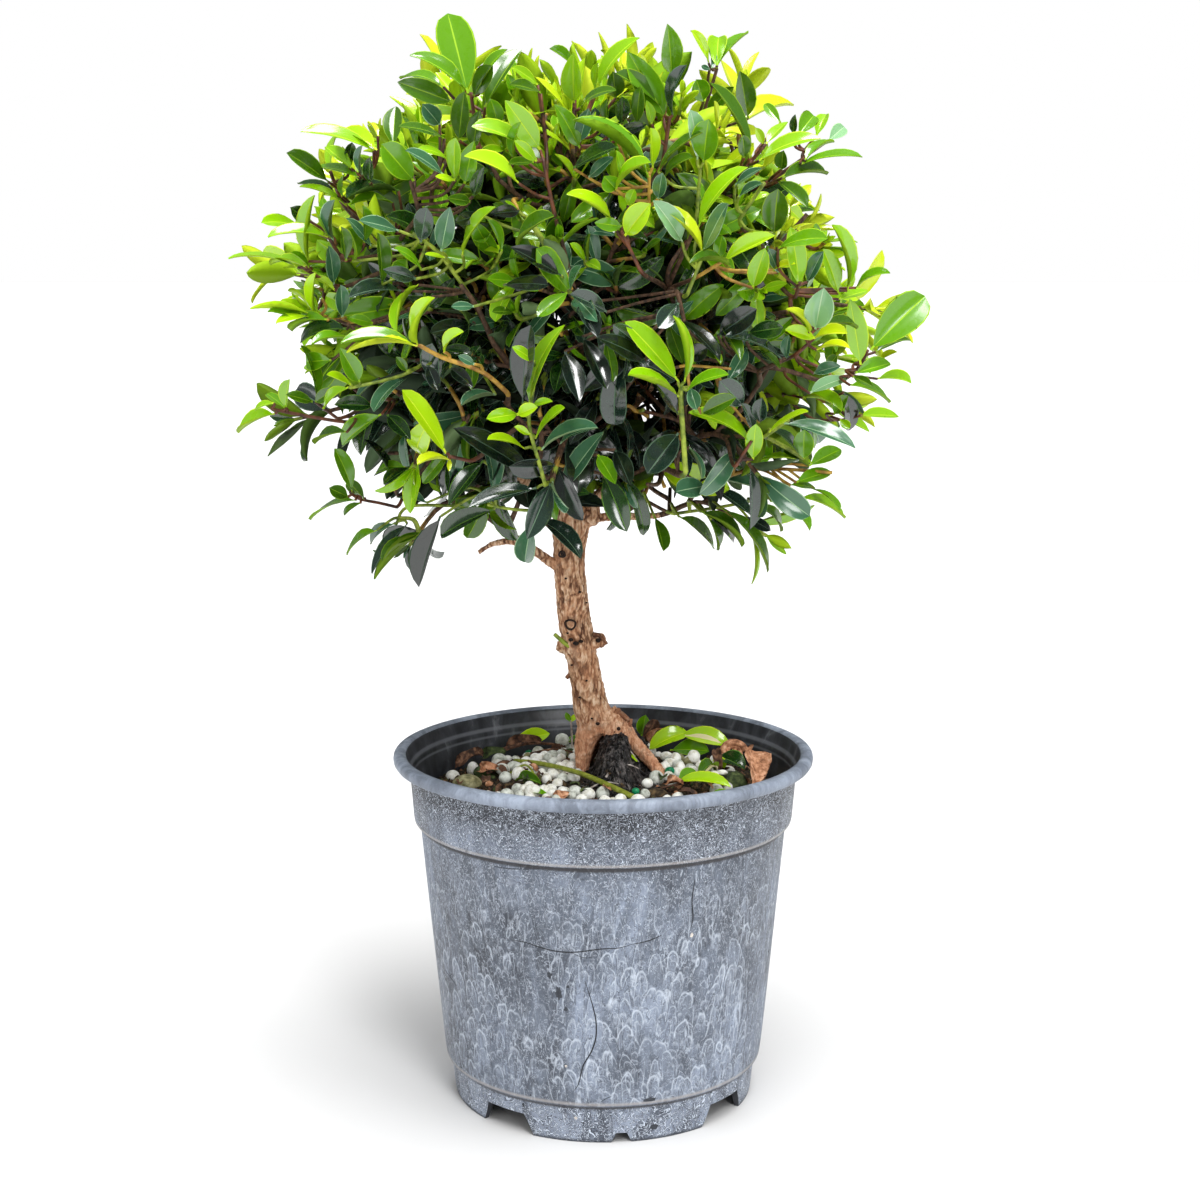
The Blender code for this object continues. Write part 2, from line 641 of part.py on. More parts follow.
class Mass:
    """One mass: a stem, the twigs that branch from it and the leaves they carry, grown by a seeded rule."""

    def __init__(self, name, space, stem_route, stem_radii, seed):
        self.name = name
        self.space = space
        self.rng = random.Random(seed)
        self.solids = []  # finished bmeshes
        self.obstacles = []  # (search tree, what it belongs to)
        self.leaves = 0
        self.outer = (space.heart - CROWN_CENTRE).normalized()
        self.core = None
        self.stem = (stem_route, stem_radii)
        self.add(limb_mesh(stem_route, stem_radii, TWIG_SIDES), "stem")

    def add(self, bm, owner):
        bmesh.ops.triangulate(bm, faces=bm.faces)
        bmesh.ops.recalc_face_normals(bm, faces=bm.faces)
        bm.verts.ensure_lookup_table()
        self.solids.append(bm)
        self.obstacles.append((BVHTree.FromBMesh(bm), owner))

    def blocked(self, bm, allowed):
        tree = BVHTree.FromBMesh(bm)
        if self.space.limbs.crossed_by(tree):
            return True
        return any(owner not in allowed and tree.overlap(other) for other, owner in self.obstacles)

    def add_core(self):
        """A faceted core that fills the middle of the space, clear of the limbs, and that the leaves stand out of."""
        for share in (1.0, 0.9, 0.8, 0.7, 0.6, 0.5):
            bm = bmesh.new()
            bmesh.ops.create_icosphere(bm, subdivisions=1, radius=1.0)
            for vertex in bm.verts:
                way = vertex.co.normalized()
                flat = 1.0 - CORE_FLATNESS * abs(way.dot(self.outer))
                reach = CORE_RADIUS * share * flat * self.rng.uniform(1.0 - CORE_JITTER, 1.0 + CORE_JITTER)
                while reach > CORE_LEAST and not self.space.holds(self.space.heart + way * reach):
                    reach -= 1.0
                vertex.co = self.space.heart + way * reach
            clear = not self.space.limbs.touched_by(self.space.heart, CORE_LEAST)
            if clear and not self.blocked(bm, ("stem",)):
                self.add(bm, "core")
                self.core = self.obstacles[-1][0]
                return
            bm.free()

    def surface(self, way):
        """Where the core's surface lies that way from its heart."""
        return self.core.ray_cast(self.space.heart, way)[0]

    def inside_core(self, point):
        if self.core is None:
            return False
        offset = point - self.space.heart
        return offset.length < (self.surface(offset.normalized()) - self.space.heart).length + CORE_CLEAR

    def grow_twig(self, start, way, length, radius, owner):
        """A side twig that bends up towards the light. It is shortened until it fits, and left out if it never does."""
        for share in (1.0, 0.8, 0.62, 0.45):
            route, point, ahead = [start], start, way.copy()
            for _ in range(TWIG_STEPS):
                ahead = (ahead + Vector((0.0, 0.0, TWIG_LIFT))).normalized()
                point = point + ahead * length * share / TWIG_STEPS
                route.append(point)
            if not all(self.space.holds(p) for p in route[1:]):
                continue
            radii = taper(radius, TWIG_TIP_RADIUS, len(route))
            bm = limb_mesh(route, radii, TWIG_SIDES)
            if self.blocked(bm, ("stem", "core", owner)):
                bm.free()
                continue
            self.add(bm, owner)
            return route, radii
        return None

    def grow_leaf(self, root, way, up, owner, size=1.0):
        """A leaf whose root is sunk in its twig or in the core.

        It is turned, lifted or made smaller until it fits, and left out if it never does.
        """
        for turn, lift, share in LEAF_TRIES:
            spun = Matrix.Rotation(math.radians(turn), 3, up) @ way
            raised = Matrix.Rotation(math.radians(lift), 3, spun.cross(up)) @ spun
            length = LEAF_LENGTH * size * share * self.rng.uniform(0.9, 1.08)
            width = length * LEAF_WIDTH_SHARE * self.rng.uniform(0.9, 1.12)
            corners, faces = leaf_mesh(root, raised, up, length, width)
            middles = [root.lerp(corner, part) for corner in corners[1:] for part in (0.25, 0.5, 0.75)]
            if not all(self.space.holds(point) for point in corners[1:] + middles):
                continue
            bm = bmesh_of(corners, faces)
            if self.blocked(bm, (owner,)):
                bm.free()
                continue
            self.add(bm, f"leaf {self.leaves}")
            self.leaves += 1
            return

    def clothe(self, route, radii, owner):
        """Pairs of opposite leaves along a twig, from where it leaves the core to its tip.

        Each pair is a quarter turn round the twig from the pair before it.
        """
        reach = [0.0]
        for start, end in zip(route, route[1:]):
            reach.append(reach[-1] + (end - start).length)
        total = reach[-1]
        turn = self.rng.uniform(0.0, math.pi)
        at = total
        while at > LEAFLESS:
            k = max(i for i in range(len(route) - 1) if reach[i] < at)
            share = min((at - reach[k]) / (reach[k + 1] - reach[k]), 1.0 - TIP_SEAT / (reach[k + 1] - reach[k]))
            point = route[k].lerp(route[k + 1], share)
            if self.inside_core(point):
                return
            radius = radii[k] + (radii[k + 1] - radii[k]) * share
            along = (route[k + 1] - route[k]).normalized()
            side = Matrix.Rotation(turn, 3, along) @ along.orthogonal().normalized()
            for hand in (1.0, -1.0):
                tilt = math.radians(LEAF_TILT + self.rng.uniform(-LEAF_SPREAD, LEAF_SPREAD))
                way = (along * math.cos(tilt) + side * hand * math.sin(tilt)).normalized()
                up = (along * math.sin(tilt) - side * hand * math.cos(tilt)).normalized()
                self.grow_leaf(point + way * radius * ROOT_SUNK, way, up, owner)
            turn += math.pi / 2
            at -= NODE_SPACING

    def thatch(self):
        """Leaves all round the outer side of the core, evenly spread, each lying along it like a shingle."""
        if self.core is None:
            return
        for k in range(THATCH):
            z = 1.0 - 2.0 * (k + 0.5) / THATCH
            a = math.radians(GOLDEN_ANGLE * k)
            normal = Vector((math.cos(a) * math.sqrt(1 - z * z), math.sin(a) * math.sqrt(1 - z * z), z))
            if normal.dot(self.outer) < INNER_SIDE:
                continue
            surface = self.surface(normal)
            grain = self.outer + Vector((0.0, 0.0, THATCH_LIFT)) + Vector([self.rng.uniform(-0.8, 0.8) for _ in range(3)])
            lie = (grain - normal * grain.dot(normal)).normalized()
            tilt = math.radians(self.rng.uniform(*THATCH_TILT))
            way = lie * math.cos(tilt) + normal * math.sin(tilt)
            up = normal * math.cos(tilt) - lie * math.sin(tilt)
            self.grow_leaf(surface - normal * THATCH_SUNK, way, up, "core")

    def grow(self):
        """Twigs a golden angle apart up the stem, then the leaves of the stem, of every twig and of the core."""
        route, radii = self.stem
        self.add_core()
        angle = self.rng.uniform(0.0, 360.0)
        shoots = [(route, radii, "stem")]
        for k in range(TWIGS_PER_STEM):
            t = FIRST_TWIG + (LAST_TWIG - FIRST_TWIG) * k / (TWIGS_PER_STEM - 1)
            index = min(int(t * (len(route) - 1)), len(route) - 2)
            point = route[index].lerp(route[index + 1], t * (len(route) - 1) - index)
            along = (route[index + 1] - route[index]).normalized()
            angle += GOLDEN_ANGLE
            side = Matrix.Rotation(math.radians(angle), 3, along) @ along.orthogonal().normalized()
            tilt = math.radians(TWIG_TILT * (1.2 - 0.4 * t))
            way = along * math.cos(tilt) + side * math.sin(tilt)
            length = TWIG_LENGTH * (1.1 - 0.4 * t) * self.rng.uniform(0.9, 1.1)
            twig = self.grow_twig(point, way, length, TWIG_RADIUS, f"twig {k}")
            if twig:
                shoots.append((*twig, f"twig {k}"))
        for shoot in shoots:
            self.clothe(*shoot)
        self.thatch()

    def fuse(self):
        """Joins the stem, core, twigs and leaves into one solid by one Boolean union on a collection."""
        made = [object_from(bm, f"part{k}", "leaves") for k, bm in enumerate(self.solids)]
        made[0].name = f"foliage_{self.name}"
        apply_boolean(made[0], "UNION", made[1:], solver="MANIFOLD")
        keep_largest(made[0])
        return made[0]


def make_masses(limbs):
    hearts = {name: heart_of(*middle) for name, middle, *_ in MASSES}
    for number, (name, _, tip, bough) in enumerate(MASSES):
        line, end = limb_line(hearts[name], tip, bough)
        tip_radius = SIDE_BOUGHS.get(name, BOUGH_RADII)[1]
        ahead = (line[end] - line[end - 1]).normalized()
        stem_route = [line[end] + ahead * GAP, line[end] + ahead * (GAP + STEM_SEAT), *line[end + 1 :]]
        stem_radii = taper(tip_radius, STEM_TIP_RADIUS, len(stem_route))
        others = [heart for other, heart in hearts.items() if other != name]
        space = Space(hearts[name], others, Vector(tip), limbs)
        mass = Mass(name, space, stem_route, stem_radii, SEED + number)
        mass.grow()
        mass.fuse()


# ---------------------------------------------------------------- the whole
def centre_on_origin():
    """Moves everything sideways, so that the middle of the whole box stands over the origin."""
    made = [thing for thing in bpy.data.objects if thing.type == "MESH"]
    points = [vertex.co for thing in made for vertex in thing.data.vertices]
    middle = [(min(p[k] for p in points) + max(p[k] for p in points)) / 2 for k in (0, 1)]
    for thing in made:
        thing.data.transform(Matrix.Translation((-middle[0], -middle[1], 0.0)))


def main():
    clear_scene()
    make_pot()
    make_trunk()
    make_potting_mix(trunk_pieces(GAP))
    limbs = Limbs()
    limbs.add(*split_radius(curve_through(TRUNK, 2)))
    make_boughs(limbs)
    make_masses(limbs)
    centre_on_origin()


main()
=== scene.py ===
"""The looks of the potted brush cherry: bark, leaves, pot finish and the dressing of the potting mix.

Lengths are in millimetres from the pot's axis and the floor, as in the part's source, until a mesh is made. The
front of the plant faces -Y. Colours are given as they show on a screen, from 0 to 255. Lengths in materials are
in metres, as Blender has them.
"""

import math

import bmesh
import bpy
import numpy as np
from mathutils import Matrix, Vector


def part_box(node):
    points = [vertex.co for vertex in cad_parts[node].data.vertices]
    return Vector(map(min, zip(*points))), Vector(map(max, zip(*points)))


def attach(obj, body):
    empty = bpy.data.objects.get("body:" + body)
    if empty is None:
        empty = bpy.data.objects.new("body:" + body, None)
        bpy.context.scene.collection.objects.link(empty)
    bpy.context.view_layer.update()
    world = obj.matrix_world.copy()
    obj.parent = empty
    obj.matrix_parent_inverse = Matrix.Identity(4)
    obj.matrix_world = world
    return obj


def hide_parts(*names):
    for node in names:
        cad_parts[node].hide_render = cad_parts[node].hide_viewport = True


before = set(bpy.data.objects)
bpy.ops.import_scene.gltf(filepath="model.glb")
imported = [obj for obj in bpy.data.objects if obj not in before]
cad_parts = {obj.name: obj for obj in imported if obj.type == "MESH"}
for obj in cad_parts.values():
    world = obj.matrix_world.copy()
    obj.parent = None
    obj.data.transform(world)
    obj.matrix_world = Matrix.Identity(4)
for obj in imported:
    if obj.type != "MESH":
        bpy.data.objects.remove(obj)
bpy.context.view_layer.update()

MM = 0.001
POT_LOW, POT_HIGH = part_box("pot")
POT_AXIS = np.array([(POT_LOW.x + POT_HIGH.x) / 2, (POT_LOW.y + POT_HIGH.y) / 2, 0.0])
SEED = 7

# ---------------------------------------------------------------- the frame's named sizes
FEET = 4
FOOT_AZIMUTH = 6.5
GROUND = 125.0
CROWN_CENTRE = np.array([-8.0, 3.0, 311.0])
CROWN_RADII = np.array([114.0, 112.0, 92.0])
CROWN_POWER = 2.5
TRUNK = (  # (x, y, z, radius), from the root crown to the tip of the leader
    (-1.8, 11.0, 144.5, 7.5),
    (-3.6, 9.8, 149.0, 7.3),
    (-5.4, 9.0, 155.5, 6.8),
    (-8.0, 7.5, 171.0, 6.1),
    (-10.6, 6.5, 184.0, 6.4),
    (-12.4, 5.5, 200.0, 6.0),
    (-13.2, 5.0, 215.0, 6.3),
    (-12.4, 4.5, 229.0, 7.0),
    (-11.0, 4.5, 243.0, 4.9),
    (-8.6, 5.0, 262.0, 3.9),
    (-7.0, 5.5, 282.0, 3.0),
)
ROOTS = (  # each root leg: (x, y, z, radius)
    (
        (-3.6, 9.4, 146.0, 5.8), (-6.7, 8.6, 139.5, 4.4), (-7.9, 8.2, 133.0, 3.6),
        (-8.2, 7.6, 127.0, 2.5), (-8.2, 7.4, 121.0, 2.2),
    ),
    (
        (1.0, 9.4, 149.0, 5.6), (7.0, 7.8, 144.0, 4.5), (12.0, 6.4, 138.8, 3.1),
        (17.2, 4.8, 133.4, 2.5), (22.4, 3.2, 127.4, 2.3), (26.0, 2.2, 121.0, 1.8),
    ),
    ((0.5, 8.6, 147.5, 4.4), (3.4, 6.0, 143.0, 3.5), (6.3, 3.4, 139.0, 2.4), (8.3, 1.6, 136.0, 1.6)),
    ((-2.0, 13.0, 146.0, 5.2), (-6.0, 19.0, 134.0, 4.4), (-10.0, 25.5, 121.0, 2.8)),
    ((2.0, 13.0, 146.0, 4.8), (7.0, 19.0, 134.0, 4.0), (13.0, 25.0, 121.0, 2.6)),
)
SCARS = (  # pruned stubs on the trunk: (height, azimuth, radius, how far it stands out)
    (186.5, -12.0, 2.3, 1.1),
    (178.5, 82.0, 2.9, 4.4),
    (176.0, -95.0, 2.4, 3.2),
    (229.0, 76.0, 4.6, 4.2),
    (203.0, 150.0, 2.2, 1.4),
)
HEAPS = (  # the fibre heaps between the roots: (x, y, top, reach across, reach back)
    (5.0, 6.0, 141.0, 10.0, 29.0),
    (12.5, 12.5, 138.5, 9.0, 9.0),
)
STUB = ((-31.0, 1.2, 219.5), (-37.0, 5.0, 219.8), (-44.0, 9.0, 218.0), (-49.0, 11.0, 214.5))
MASSES = (  # name, heart (azimuth, elevation, share of the way out), tip, bough (height on the trunk or its own route)
    ("top", (0, 88, 0.62), (23, 2, 414), 279),
    ("upper_left", (-86, 42, 0.66), (-55, -4, 417.5), 268),
    ("upper_right", (86, 41, 0.66), (55, 2, 411), ((-7.4, 5.4, 275), (-1, 6, 300), (17, 6, 330))),
    ("upper_front", (-2, 38, 0.66), (-14, -78, 394), 273),
    ("upper_back", (180, 42, 0.66), (6, 80, 396), 270),
    ("left", (-91, 3, 0.68), (-141, -3, 328), 250),
    ("right", (91, 1, 0.66), (122.6, -2, 308), ((-11, 4.5, 240), (-1.6, 6, 254), (8, 7, 276), (30, 6, 302))),
    ("front", (0, -1, 0.66), (-14, -116, 322), 254),
    ("back", (180, 0, 0.66), (10, 117, 318), 257),
    ("front_left", (-46, 5, 0.66), (-90, -78, 350), 262),
    ("front_right", (46, 5, 0.66), (70, -82, 350), 259),
    ("back_left", (-135, 5, 0.66), (-88, 84, 348), 265),
    ("back_right", (134, 5, 0.66), (76, 84, 350), 260),
    ("lower_left", (-92, -27, 0.70), (-138, 2, 264), 242),
    ("lower_right", (91, -25, 0.70), (112, 4, 270), ((-12.2, 4.5, 229), (10.9, 2, 247), (21, 1, 257), (38, 1, 268))),
    ("low_front", (-4, -33, 0.72), (-22, -98, 240), 234),
    ("low_front_left", (-49, -32, 0.72), (-72, -76, 244), 238),
    ("low_front_right", (42, -32, 0.72), (66, -78, 242), 236),
    ("low_back_left", (-144, -32, 0.72), (-66, 88, 244), 240),
    ("low_back_right", (146, -32, 0.72), (60, 90, 246), 244),
    ("bottom_left", (-88, -56, 0.88), (-88, -8, 206), ((-13.2, 5, 207), (-22, 3, 213), (-34, 0, 222))),
    ("bottom_right", (90, -58, 0.88), (80, -4, 214), ((-9, 4.5, 229), (6, 1, 230), (22, -2, 231))),
)
SIDE_BOUGHS = {  # radii at the start and the end of the boughs that are not like the others
    "upper_right": (2.6, 1.5),
    "left": (2.7, 1.5),
    "right": (3.1, 1.6),
    "lower_left": (2.6, 1.4),
    "lower_right": (3.4, 1.5),
    "bottom_left": (2.6, 1.4),
    "bottom_right": (1.9, 1.2),
}
BOUGH_RADII = (2.3, 1.4)
BOUGH_SAG = 0.08
CORE_RADIUS = 31.0
BOUGH_STEPS = 6  # pieces in each span of a bough
TIP_LEAF = 19.0  # a long shoot ends this far short of the tip, which its last leaves reach
GOLDEN_ANGLE = math.radians(137.5)
CLEARINGS = (  # gaps right through the crown: a point in front, one at the back, radius
    ((11.9, -110.0, 277.2), (16.4, 110.0, 262.4), 6.0),
    ((17.3, -110.0, 249.8), (23.6, 110.0, 225.7), 7.0),
)

# ---------------------------------------------------------------- the studio
SKY_LIGHT = 0.17
SUNS = (  # name, azimuth, elevation, strength, angle across
    ("top", 14.0, 78.0, 3.3, 30.0),
    ("front_right", 26.0, 22.0, 0.75, 18.0),
    ("front_left", -28.0, 18.0, 0.65, 45.0),
    ("side_right", 75.0, 42.0, 0.8, 50.0),
    ("side_left", -75.0, 42.0, 0.6, 50.0),
    ("high_front", 16.0, 50.0, 1.0, 14.0),
    ("rim", 172.0, 58.0, 0.9, 45.0),
)
SHEEN_SUNS = ("top", "high_front", "front_right")  # the ones that shine in leaves and pot
FLOOR_TONE = 0.62
FLOOR_WIDTH = 400.0  # in metres
LENS, SENSOR = 58.93, 36.0
EYE = (-0.00125, -0.75662, 0.32059)  # from the foot of the pot's axis, in metres
EYE_DOWN = 9.25


# ---------------------------------------------------------------- numbers

def unit(v):
    v = np.asarray(v, float)
    return v / max(np.linalg.norm(v), 1e-9)


def outward(azimuth, elevation=0.0):
    """The unit vector that points that way: azimuth 0 is the front (-Y) and 90 is +X, in degrees."""
    a, e = math.radians(azimuth), math.radians(elevation)
    return np.array([math.sin(a) * math.cos(e), -math.cos(a) * math.cos(e), math.sin(e)])


def smoothstep(low, high, x):
    t = np.clip((x - low) / (high - low), 0.0, 1.0)
    return t * t * (3 - 2 * t)


def lattice(cells, seed):
    """A random number between -1 and 1 for each whole-number cell."""
    h = cells[..., 0] * 73856093 ^ cells[..., 1] * 19349663 ^ cells[..., 2] * 83492791 ^ (seed * 2654435761)
    h = (h ^ (h >> 13)) * 1274126177 & 0xFFFFFFFF
    h = (h ^ (h >> 16)) * 2246822519 & 0xFFFFFFFF
    return ((h >> 8) & 0xFFFF) / 32767.5 - 1.0


def noise(points, scale, seed=0, octaves=1):
    """Smooth value noise between -1 and 1 at each point. Scale is the size of its largest lumps."""
    points = np.asarray(points, float) / scale
    total, weight, size = 0.0, 1.0, 0.0
    for octave in range(octaves):
        cells = np.floor(points).astype(np.int64)
        t = points - cells
        t = t * t * (3 - 2 * t)
        value = 0.0
        for corner in range(8):
            step = np.array([corner & 1, corner >> 1 & 1, corner >> 2 & 1])
            share = np.prod(np.where(step, t, 1 - t), axis=-1)
            value = value + share * lattice(cells + step, seed + octave * 17)
        total = total + value * weight
        size += weight
        weight *= 0.5
        points = points * 2.03 + 11.7
    return total / size


def curve_through(points, per_span):
    """Points along a smooth Catmull-Rom curve through the given points. Each point may also hold a radius."""
    points = [np.asarray(p, float) for p in points]
    ends = [points[0], *points, points[-1]]
    route = []
    for p, q, r, s in zip(ends, ends[1:], ends[2:], ends[3:]):
        for step in range(per_span):
            t = step / per_span
            curved = 2 * q + (r - p) * t + (2 * p - 5 * q + 4 * r - s) * t**2
            route.append(0.5 * (curved + (3 * q - p - 3 * r + s) * t**3))
    return np.array([*route, points[-1]])


def frames_along(route):
    """The tangent and two directions across it at each point of a route, turned with it so that they don't twist."""
    ahead = np.gradient(route, axis=0)
    ahead /= np.linalg.norm(ahead, axis=1)[:, None]
    first = np.cross(ahead[0], (0.0, 0.0, 1.0))
    if np.linalg.norm(first) < 0.1:
        first = np.cross(ahead[0], (1.0, 0.0, 0.0))
    across = np.empty_like(route)
    last = unit(first)
    for k, way in enumerate(ahead):
        last = unit(last - way * last.dot(way))
        across[k] = last
    return ahead, across, np.cross(ahead, across)


# ---------------------------------------------------------------- meshes
class Pile:
    """Vertices and faces of many small things that become one mesh."""

    def __init__(self):
        self.points, self.quads, self.marks = [], [], []
        self.count = 0

    def add(self, points, quads, marks):
        """Quads may repeat their last index to be triangles. Marks are material indices."""
        self.points.append(points)
        self.quads.append(np.asarray(quads) + self.count)
        self.marks.append(np.broadcast_to(marks, (len(quads),)))
        self.count += len(points)

    def mesh(self, name, materials, slot):
        points = (np.concatenate(self.points) * MM + POT_AXIS).astype(np.float32)
        faces = [face[:3] if face[3] == face[2] else face for face in np.concatenate(self.quads).tolist()]
        data = bpy.data.meshes.new(name)
        data.from_pydata(points.tolist(), [], faces)
        data.polygons.foreach_set("material_index", np.concatenate(self.marks).astype(np.int32))
        data.polygons.foreach_set("use_smooth", np.full(len(faces), True))
        data.update()
        made = linked(name, data)
        for one in materials:
            data.materials.append(one)
        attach(made, "root")
        return made


def linked(name, data):
    """A new object in the scene."""
    made = bpy.data.objects.new(name, data)
    bpy.context.scene.collection.objects.link(made)
    return made


def grid_quads(rows, sides):
    """The faces between closed rings of points, ring after ring."""
    row = np.arange(rows - 1)[:, None] * sides
    k = np.arange(sides)[None]
    n = (k + 1) % sides
    return np.stack([row + k, row + sides + k, row + sides + n, row + n], -1).reshape(-1, 4)


def fan(sides, start, hub, turned=False):
    """The faces from a ring of points to one point in its middle."""
    k = np.arange(sides) + start
    n = (np.arange(sides) + 1) % sides + start
    hubs = np.full(sides, hub)
    return np.stack([n, k, hubs, hubs] if turned else [k, n, hubs, hubs], -1)


def tube(pile, route, radii, sides, marks=0):
    """Adds a closed round limb along a route to a pile. Marks may be one for each piece of the route."""
    route, radii = np.asarray(route, float), np.asarray(radii, float)
    _, across, side = frames_along(route)
    angles = 2 * np.pi * np.arange(sides) / sides
    ring = np.cos(angles)[None, :, None] * across[:, None] + np.sin(angles)[None, :, None] * side[:, None]
    points = (route[:, None] + radii[:, None, None] * ring).reshape(-1, 3)
    rows = len(route)
    quads = [grid_quads(rows, sides)[:, [0, 3, 2, 1]]]
    quads.append(fan(sides, 0, rows * sides, turned=True))
    quads.append(fan(sides, (rows - 1) * sides, rows * sides + 1))
    if np.ndim(marks):
        marks = np.concatenate([np.repeat(marks, sides), np.repeat([marks[0], marks[-1]], sides)])
    pile.add(np.concatenate([points, route[:1], route[-1:]]), np.concatenate(quads), marks)


def from_bmesh(bm, name):
    data = bpy.data.meshes.new(name)
    bm.to_mesh(data)
    bm.free()
    return linked(name, data)


def apply_modifiers(made):
    graph = bpy.context.evaluated_depsgraph_get()
    result = bpy.data.meshes.new_from_object(made.evaluated_get(graph))
    made.modifiers.clear()
    made.data = result


# ---------------------------------------------------------------- materials
def linear(red, green, blue):
    """A screen colour as light."""
    parts = [c / 255 for c in (red, green, blue)]
    return tuple(c / 12.92 if c <= 0.04045 else ((c + 0.055) / 1.055) ** 2.4 for c in parts)


class Shade:
    """A Principled material and short ways to wire nodes into it."""

    def __init__(self, name, colour, roughness):
        self.material = bpy.data.materials.new(name)
        self.material.use_nodes = True
        self.tree = self.material.node_tree
        self.shader = self.tree.nodes["Principled BSDF"]
        self.set("Base Color", (*linear(*colour), 1.0))
        self.set("Roughness", roughness)
        self.place = self.node("ShaderNodeTexCoord").outputs["Object"]

    def set(self, socket, source):
        """Gives one of the shader's inputs a value or another node's output."""
        self.feed(self.shader.inputs[socket], source)

    def feed(self, socket, source):
        if isinstance(source, bpy.types.NodeSocket):
            self.tree.links.new(source, socket)
        else:
            socket.default_value = source

    def node(self, kind, **values):
        """A new node. Each value is a setting, or what the input of that name gets."""
        made = self.tree.nodes.new(kind)
        for key, value in values.items():
            if hasattr(made, key):
                setattr(made, key, value)
            else:
                self.feed(made.inputs[key.replace("_", " ")], value)
        return made

    def stretched(self, scale):
        return self.node("ShaderNodeMapping", Scale=scale, Vector=self.place).outputs["Vector"]

    def noise(self, scale, detail=4.0, roughness=0.55, distortion=0.0, stretch=(1, 1, 1)):
        settings = {"Scale": scale, "Detail": detail, "Roughness": roughness, "Distortion": distortion}
        return self.node("ShaderNodeTexNoise", Vector=self.stretched(stretch), **settings).outputs["Fac"]

    def height(self):
        """How high a point lies."""
        return self.node("ShaderNodeSeparateXYZ", Vector=self.place).outputs["Z"]

    def ramp(self, source, *stops):
        """Stops are (place, value or colour)."""
        made = self.node("ShaderNodeValToRGB", Fac=source)
        elements = made.color_ramp.elements
        while len(elements) < len(stops):
            elements.new(0.5)
        for element, (place, value) in zip(elements, stops):
            element.position = place
            element.color = (*(linear(*value) if isinstance(value, tuple) else (value,) * 3), 1.0)
        return made.outputs["Color"]

    def mix(self, factor, a, b):
        made = self.node("ShaderNodeMix", data_type="RGBA")
        for index, source in ((0, factor), (6, a), (7, b)):
            self.feed(made.inputs[index], (*linear(*source), 1.0) if isinstance(source, tuple) else source)
        return made.outputs[2]

    def maths(self, operation, a, b):
        made = self.node("ShaderNodeMath", operation=operation)
        self.feed(made.inputs[0], a)
        self.feed(made.inputs[1], b)
        return made.outputs[0]

    def times(self, a, b):
        return self.maths("MULTIPLY", a, b)

    def rise(self, source, low, high):
        """Nought at low, one at high, and even between them."""
        return self.node("ShaderNodeMapRange", Value=source, From_Min=low, From_Max=high).outputs["Result"]

    def band(self, source, low, full, last, high):
        """Nought up to low, one from full to last, and nought again from high."""
        return self.times(self.rise(source, low, full), self.rise(source, high, last))

    def stripe(self, source, a, b, c, d, peak=1.0):
        """A thin line where a noise lies between a and d."""
        return self.ramp(source, (a, 0.0), (b, peak), (c, peak), (d, 0.0))

    def drops(self, scale, stretch, radius, wide):
        """The upper rims and the bodies of round-topped drops, as two masks."""
        warp = self.node("ShaderNodeTexNoise", Scale=scale * 0.9, Detail=2.0, Vector=self.stretched(stretch))
        shift = self.node("ShaderNodeVectorMath", operation="MULTIPLY_ADD")
        for index, source in enumerate((warp.outputs["Color"], (0.6 / scale,) * 3, self.stretched(stretch))):
            self.feed(shift.inputs[index], source)
        shifted = shift.outputs["Vector"]
        cell = self.node("ShaderNodeTexVoronoi", Scale=scale, Vector=shifted)
        over = self.node("ShaderNodeVectorMath", operation="SUBTRACT")
        self.feed(over.inputs[0], shifted)
        self.feed(over.inputs[1], cell.outputs["Position"])
        part = self.node("ShaderNodeSeparateXYZ", Vector=over.outputs["Vector"])
        upper = self.rise(part.outputs["Z"], -0.22 / scale, 0.12 / scale)
        far = cell.outputs["Distance"]
        rim = self.band(far, radius - wide, radius, radius + wide * 0.3, radius + wide * 1.3)
        return self.times(rim, upper), self.rise(far, radius + 0.1, radius - 0.05)

    def bump(self, height, distance, strength):
        made = self.node("ShaderNodeBump", Strength=strength, Distance=distance, Height=height)
        self.set("Normal", made.outputs["Normal"])


def grained(name, colour, roughness, noise, stops, bump=None):
    """A material whose colour follows a fine grain, with its stops, that may also stand up a little."""
    s = Shade(name, colour, roughness)
    grain = s.noise(*noise)
    s.set("Base Color", s.ramp(grain, *stops))
    if bump:
        s.bump(grain, *bump)
    return s.material


def bark_material():
    """Tan bark: the ridges of the mesh are pale and the clefts between them dark, as the relief attribute says."""
    s = Shade("bark", (168, 122, 92), 0.85)
    relief = s.node("ShaderNodeAttribute", attribute_name="relief").outputs["Fac"]
    grain = s.noise(1300.0, 5.0, 0.65, 0.5, (1.0, 1.0, 0.35))
    level = s.maths("ADD", relief, s.times(s.maths("SUBTRACT", grain, 0.5), 1.1))
    tan = s.ramp(level, (0.0, (84, 52, 36)), (0.22, (146, 102, 73)), (0.48, (202, 158, 122)), (0.78, (242, 212, 182)))
    warm = s.mix(s.ramp(s.noise(120.0, 4.0, 0.6), (0.42, 0.0), (0.64, 0.4)), tan, (214, 150, 108))
    smooth = s.ramp(grain, (0.3, (150, 92, 62)), (0.5, (206, 140, 104)), (0.7, (238, 186, 152)))
    warm = s.mix(s.times(s.rise(s.height(), 0.156, 0.142), 0.55), warm, smooth)
    grey = s.ramp(s.noise(210.0, 3.0, 0.5, 1.5), (0.56, 0.0), (0.68, 0.4))
    s.set("Base Color", s.mix(grey, warm, (150, 124, 104)))
    s.set("Roughness", s.ramp(grain, (0.3, 0.95), (0.7, 0.7)))
    s.bump(grain, 0.0005, 0.9)
    return s.material


